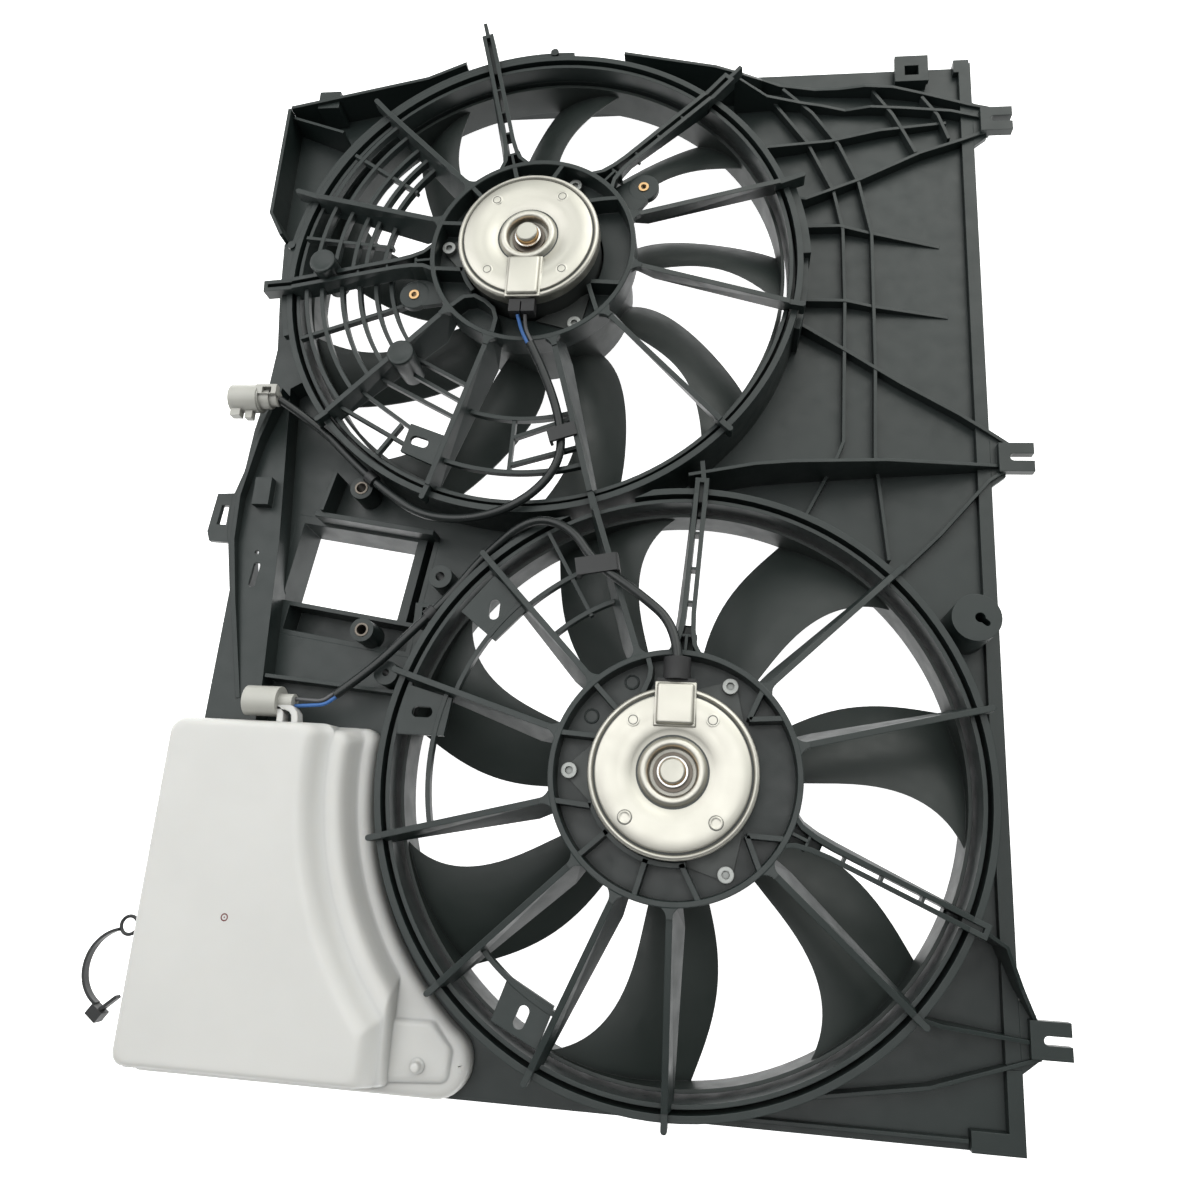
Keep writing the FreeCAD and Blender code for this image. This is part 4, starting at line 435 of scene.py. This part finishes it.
def motor_cap(name, centre, tab_from, tab_to, holes, node):
    # pressed cap with its terminal tab, and four dimples, some of them pierced
    bm = bmesh.new()
    # dark rings laid in the cap's grooves and round its dimples are painted shade
    painted_groove_shade = bmesh.new()
    lathe(painted_groove_shade, centre, [(43.3, -1.45), (44.2, -1.55)], CAP_Z, 128)
    lathe(painted_groove_shade, centre, [(19.2, -1.65), (20.4, -1.68)], CAP_Z, 96)
    lathe(bm, centre, CAP_PROFILE, CAP_Z, 128)
    for i, angle in enumerate(CAP_MARKS):
        spot = (centre[0] + CAP_MARK_R * math.cos(math.radians(angle)),
                centre[1] + CAP_MARK_R * math.sin(math.radians(angle)))
        lathe(bm, spot, HOLE_PROFILE if i in holes else DIMPLE_PROFILE, CAP_Z, 32)
        lathe(painted_groove_shade, spot, [(3.7, 0.04), (4.1, 0.05)] if i in holes else
              [(2.35, 0.08), (2.75, 0.08)], CAP_Z, 32)
    mid, depth = (tab_from + tab_to) / 2.0, abs(tab_to - tab_from)
    block(bm, (centre[0], centre[1] + mid, CAP_Z + 0.4), (21.4, depth, 5.0), 1.5, 0.94)
    block(bm, (centre[0], centre[1] + mid, CAP_Z - 1.2), (23.4, depth + 1.2, 3.0), 0.7)
    # the painted shade rings take the can's dark finish
    piece(name + "_painted_groove_shade", painted_groove_shade, PAINTED, "shroud")
    piece(name, bm, NICKEL, "shroud", (node,))


def shaft_trim(name, centre, body):
    # collar and circlip that turn with the shaft
    bm = bmesh.new()
    lathe(bm, centre, [(7.06, -4.0), (7.5, -4.0), (7.5, 1.6), (7.2, 2.0), (7.06, 2.0)], CAP_Z, 64)
    piece(name + "_collar", bm, BRASS, body)
    bm = bmesh.new()
    lathe(bm, centre, [(7.6, -1.4), (8.6, -1.3), (8.8, -0.9), (8.6, -0.5), (7.6, -0.4)],
          CAP_Z, 64)
    piece(name + "_circlip", bm, BRIGHT, body)


motor_cap("upper_cap_pressing", UPPER, -46.0, -17.5, (), "upper_motor_cap")
motor_cap("lower_cap_pressing", LOWER, 25.5, 49.4, (2, 3), "lower_motor_cap")
shaft_trim("upper_shaft", UPPER, "upper_rotor")
shaft_trim("lower_shaft", LOWER, "lower_rotor")


# ------------------------------------------------------------------ coolant tank
MARK = (-291.0, -43.0)
PIP = (-170.3, -118.0)


def fillet(before, corner, after, radius, steps=9):
    # arc of points round one corner, and how far it reaches along each side
    a = (Vector(before) - Vector(corner)).normalized()
    b = (Vector(after) - Vector(corner)).normalized()
    half = math.acos(max(-1.0, min(1.0, a.dot(b)))) / 2.0
    reach = radius / math.tan(half)
    centre = Vector(corner) + (a + b).normalized() * radius / math.sin(half)
    start, end = Vector(corner) + a * reach, Vector(corner) + b * reach
    spoke, last = start - centre, end - centre
    turn = math.atan2(spoke.x * last.y - spoke.y * last.x, spoke.dot(last))
    out = []
    for i in range(steps):
        t = turn * i / (steps - 1)
        out.append((centre.x + spoke.x * math.cos(t) - spoke.y * math.sin(t),
                    centre.y + spoke.x * math.sin(t) + spoke.y * math.cos(t)))
    return out, reach


def tank_outline(left, bottom, right, top, radius, corners):
    # straight left, foot and top; the right side follows the fan opening.
    # corner radii run anticlockwise from the top left
    def on_arc(angle):
        return (LOWER[0] + radius * math.cos(angle), LOWER[1] + radius * math.sin(angle))
    low = math.pi + math.acos((LOWER[0] - right) / radius)
    high = math.pi - math.asin((top - LOWER[1]) / radius)
    r_tl, r_bl, r_br, r_k, r_tr = corners
    knee = on_arc(low)
    crest = on_arc(high)
    out = []
    out += fillet(crest, (left, top), (left, bottom), r_tl)[0]
    out += fillet((left, top), (left, bottom), (right, bottom), r_bl)[0]
    out += fillet((left, bottom), (right, bottom), knee, r_br)[0]
    made, reach = fillet((right, bottom), knee, on_arc(low - 0.1), r_k)
    out += made
    end, skip = fillet(on_arc(high + 0.1), crest, (left, top), r_tr)
    start, stop = low - reach / radius, high + skip / radius
    out += [on_arc(start + (stop - start) * i / 29.0) for i in range(1, 29)]
    return out + end


def loft(bm, rings):
    # closed skin through outlines at rising levels
    rows = [[bm.verts.new(at(x, y, z)) for x, y in outline] for z, outline in rings]
    for a, b in zip(rows[:-1], rows[1:]):
        for i in range(len(a)):
            j = (i + 1) % len(a)
            bm.faces.new((a[i], a[j], b[j], b[i]))
    caps = [bm.faces.new(rows[0]), bm.faces.new(rows[-1])]
    bmesh.ops.triangulate(bm, faces=caps, ngon_method="BEAUTY")


def rounded(points, radius):
    # polygon with every corner rounded alike
    out = []
    for i, p in enumerate(points):
        out += fillet(points[i - 1], p, points[(i + 1) % len(points)], radius)[0]
    return out


bm = bmesh.new()
# foot flange with its rounded lobe
loft(bm, [(z, tank_outline(-351.0 + d, -136.5 + d, -140.5 - d, 77.0 - d, 195.0 + d,
                           (9.0, 6.0, 20.0 - d, 18.0, 9.0 - d * 0.5)))
          for z, d in ((24.4, 0.0), (30.0, 0.0), (32.4, 0.4), (34.2, 1.2), (35.4, 2.4),
                       (36.1, 4.0), (36.6, 6.0))])
# second shoulder
loft(bm, [(z, tank_outline(-350.9 + e, -131.5 + e, -187.0 - e * 0.6, 77.1 - t, r,
                           (9.0, 7.0, 4.0, 6.0, 8.5)))
          for z, e, t, r in ((24.6, 0.0, 0.0, 197.5), (33.0, 0.3, 0.4, 200.8),
                             (36.0, 0.4, 1.0, 202.4), (38.0, 0.6, 2.0, 204.0),
                             (41.0, 0.9, 3.0, 205.6), (45.0, 1.4, 3.9, 207.5),
                             (47.6, 2.0, 4.7, 209.0), (49.2, 2.9, 5.9, 210.8),
                             (50.1, 4.1, 7.4, 213.0), (50.4, 5.6, 9.2, 215.4),
                             (50.5, 7.5, 11.0, 218.0))])
# raised face
loft(bm, [(z, tank_outline(-350.7 + e, -130.5 + e * 0.7, x, 77.4 - e, r,
                           (9.5, 8.0, 5.0, 6.0, 8.0)))
          for z, e, x, r in ((24.8, 0.0, -188.5, 217.0), (36.0, 0.4, -189.0, 217.0),
                             (49.6, 0.9, -190.0, 217.6), (50.7, 1.0, -191.2, 219.6),
                             (52.4, 1.2, -192.8, 222.0), (55.0, 1.5, -194.4, 224.2),
                             (57.6, 2.0, -195.8, 226.2), (59.6, 2.7, -197.2, 228.2),
                             (61.0, 3.8, -198.8, 230.2), (61.8, 5.2, -200.6, 232.2),
                             (62.0, 7.0, -202.6, 234.4), (62.0, 10.0, -205.6, 237.6))])
# raised pad with its pip beside the foot
loft(bm, [(z, rounded(((-192.0, -93.0 - d), (-192.0, -129.5 + d), (-151.5 - d, -127.0 + d),
                       (-150.0 - d, -108.0), (-163.0 - d * 0.7, -93.0 - d)), 5.5))
          for z, d in ((34.0, 0.0), (36.6, 0.6), (38.2, 1.6), (39.0, 3.0), (39.2, 5.0))])
lathe(bm, PIP, [(4.4, 2.4), (4.2, 3.2), (3.1, 3.9), (2.9, 4.5), (2.7, 8.4),
                             (2.2, 9.1), (1.2, 9.3), (0.0, 9.3)], 37.0, 40)
# two hooks that carry the connector
for path in (((-277.8, 71.0), (-277.8, 78.0), (-278.2, 80.8), (-279.8, 82.8), (-283.6, 84.2)),
             ((-267.8, 71.0), (-267.9, 77.0), (-268.7, 80.9), (-271.0, 83.7), (-274.6, 85.2),
              (-279.0, 85.7), (-287.0, 85.6))):
    ribbon(bm, path, 4.2, 49.0, 57.0)
piece("tank_moulding", bm, TANK, "shroud", ("coolant_tank",), 30.0)
bm = bmesh.new()
lathe(bm, MARK, [(1.55, 0.02), (1.7, 0.12), (2.15, 0.12), (2.3, 0.02)], TANK_Z, 40)
lathe(bm, MARK, [(0.0, 0.10), (0.35, 0.10), (0.45, 0.02)], TANK_Z, 20)
piece("tank_mark", bm, MAROON, "shroud")


# ------------------------------------------------------------------ guard posts
bm = bmesh.new()
for spot, low, high in (((-285.0, 393.5), 50.0, 84.0), ((-218.6, 319.4), 56.0, 87.5)):
    lathe(bm, spot, [(0.0, low), (7.2, low), (7.7, low + 0.4), (9.0, high - 3.0),
                     (9.2, high - 1.2), (8.7, high - 0.3), (7.9, high), (6.4, high - 0.4),
                     (4.0, high - 0.8), (0.0, high - 0.9)], 0.0, 56)
piece("guard_post_pair", bm, SHROUD, "shroud", ("upper_guard_posts",))


# ------------------------------------------------------------------ floor and light
def stage_floor():
    mesh = bpy.data.meshes.new("floor")
    bm = bmesh.new()
    bmesh.ops.create_grid(bm, x_segments=4, y_segments=4, size=4.0)
    bm.to_mesh(mesh)
    bm.free()
    obj = bpy.data.objects.new("floor", mesh)
    obj.location = (0, 0, -0.001)
    scene.collection.objects.link(obj)
    mat = bpy.data.materials.new("floor_paper")
    mat.use_nodes = True
    bsdf = mat.node_tree.nodes["Principled BSDF"]
    bsdf.inputs["Base Color"].default_value = (0.95, 0.95, 0.95, 1)
    bsdf.inputs["Roughness"].default_value = 0.9
    bsdf.inputs["Emission Color"].default_value = (1, 1, 1, 1)
    bsdf.inputs["Emission Strength"].default_value = 1.0
    mesh.materials.append(mat)


def area(name, place, target, size, power, colour=(1, 1, 1)):
    light = bpy.data.lights.new(name, "AREA")
    light.shape = "SQUARE"
    light.size = size
    light.energy = power
    light.color = colour
    obj = bpy.data.objects.new(name, light)
    obj.location = place
    aim = Vector(target) - Vector(place)
    obj.rotation_euler = aim.to_track_quat("-Z", "Y").to_euler()
    scene.collection.objects.link(obj)


stage_floor()
world = bpy.data.worlds.new("studio")
world.use_nodes = True
back = world.node_tree.nodes["Background"]
coords = world.node_tree.nodes.new("ShaderNodeTexCoord")
lean = world.node_tree.nodes.new("ShaderNodeVectorMath")
lean.operation = "DOT_PRODUCT"
lean.inputs[1].default_value = (0.36, 0.72, 0.59)
amount = world.node_tree.nodes.new("ShaderNodeMapRange")
amount.inputs["From Min"].default_value = 0.40
amount.inputs["From Max"].default_value = 1.0
amount.inputs["To Min"].default_value = 0.18
amount.inputs["To Max"].default_value = 1.25
world.node_tree.links.new(coords.outputs["Generated"], lean.inputs[0])
world.node_tree.links.new(lean.outputs["Value"], amount.inputs["Value"])
world.node_tree.links.new(amount.outputs["Result"], back.inputs["Strength"])
back.inputs["Color"].default_value = (0.97, 1.0, 0.97, 1)
scene.world = world
area("key", (0.9, 1.5, 1.5), (0.0, 0.0, 0.0), 2.0, 18.0, (1.0, 0.99, 0.95))
area("side", (-1.4, 0.5, 1.5), (0.0, 0.0, 0.0), 2.0, 22.0)
area("top", (0.0, -0.25, 1.8), (0.0, -0.2, 0.0), 1.2, 8.0)
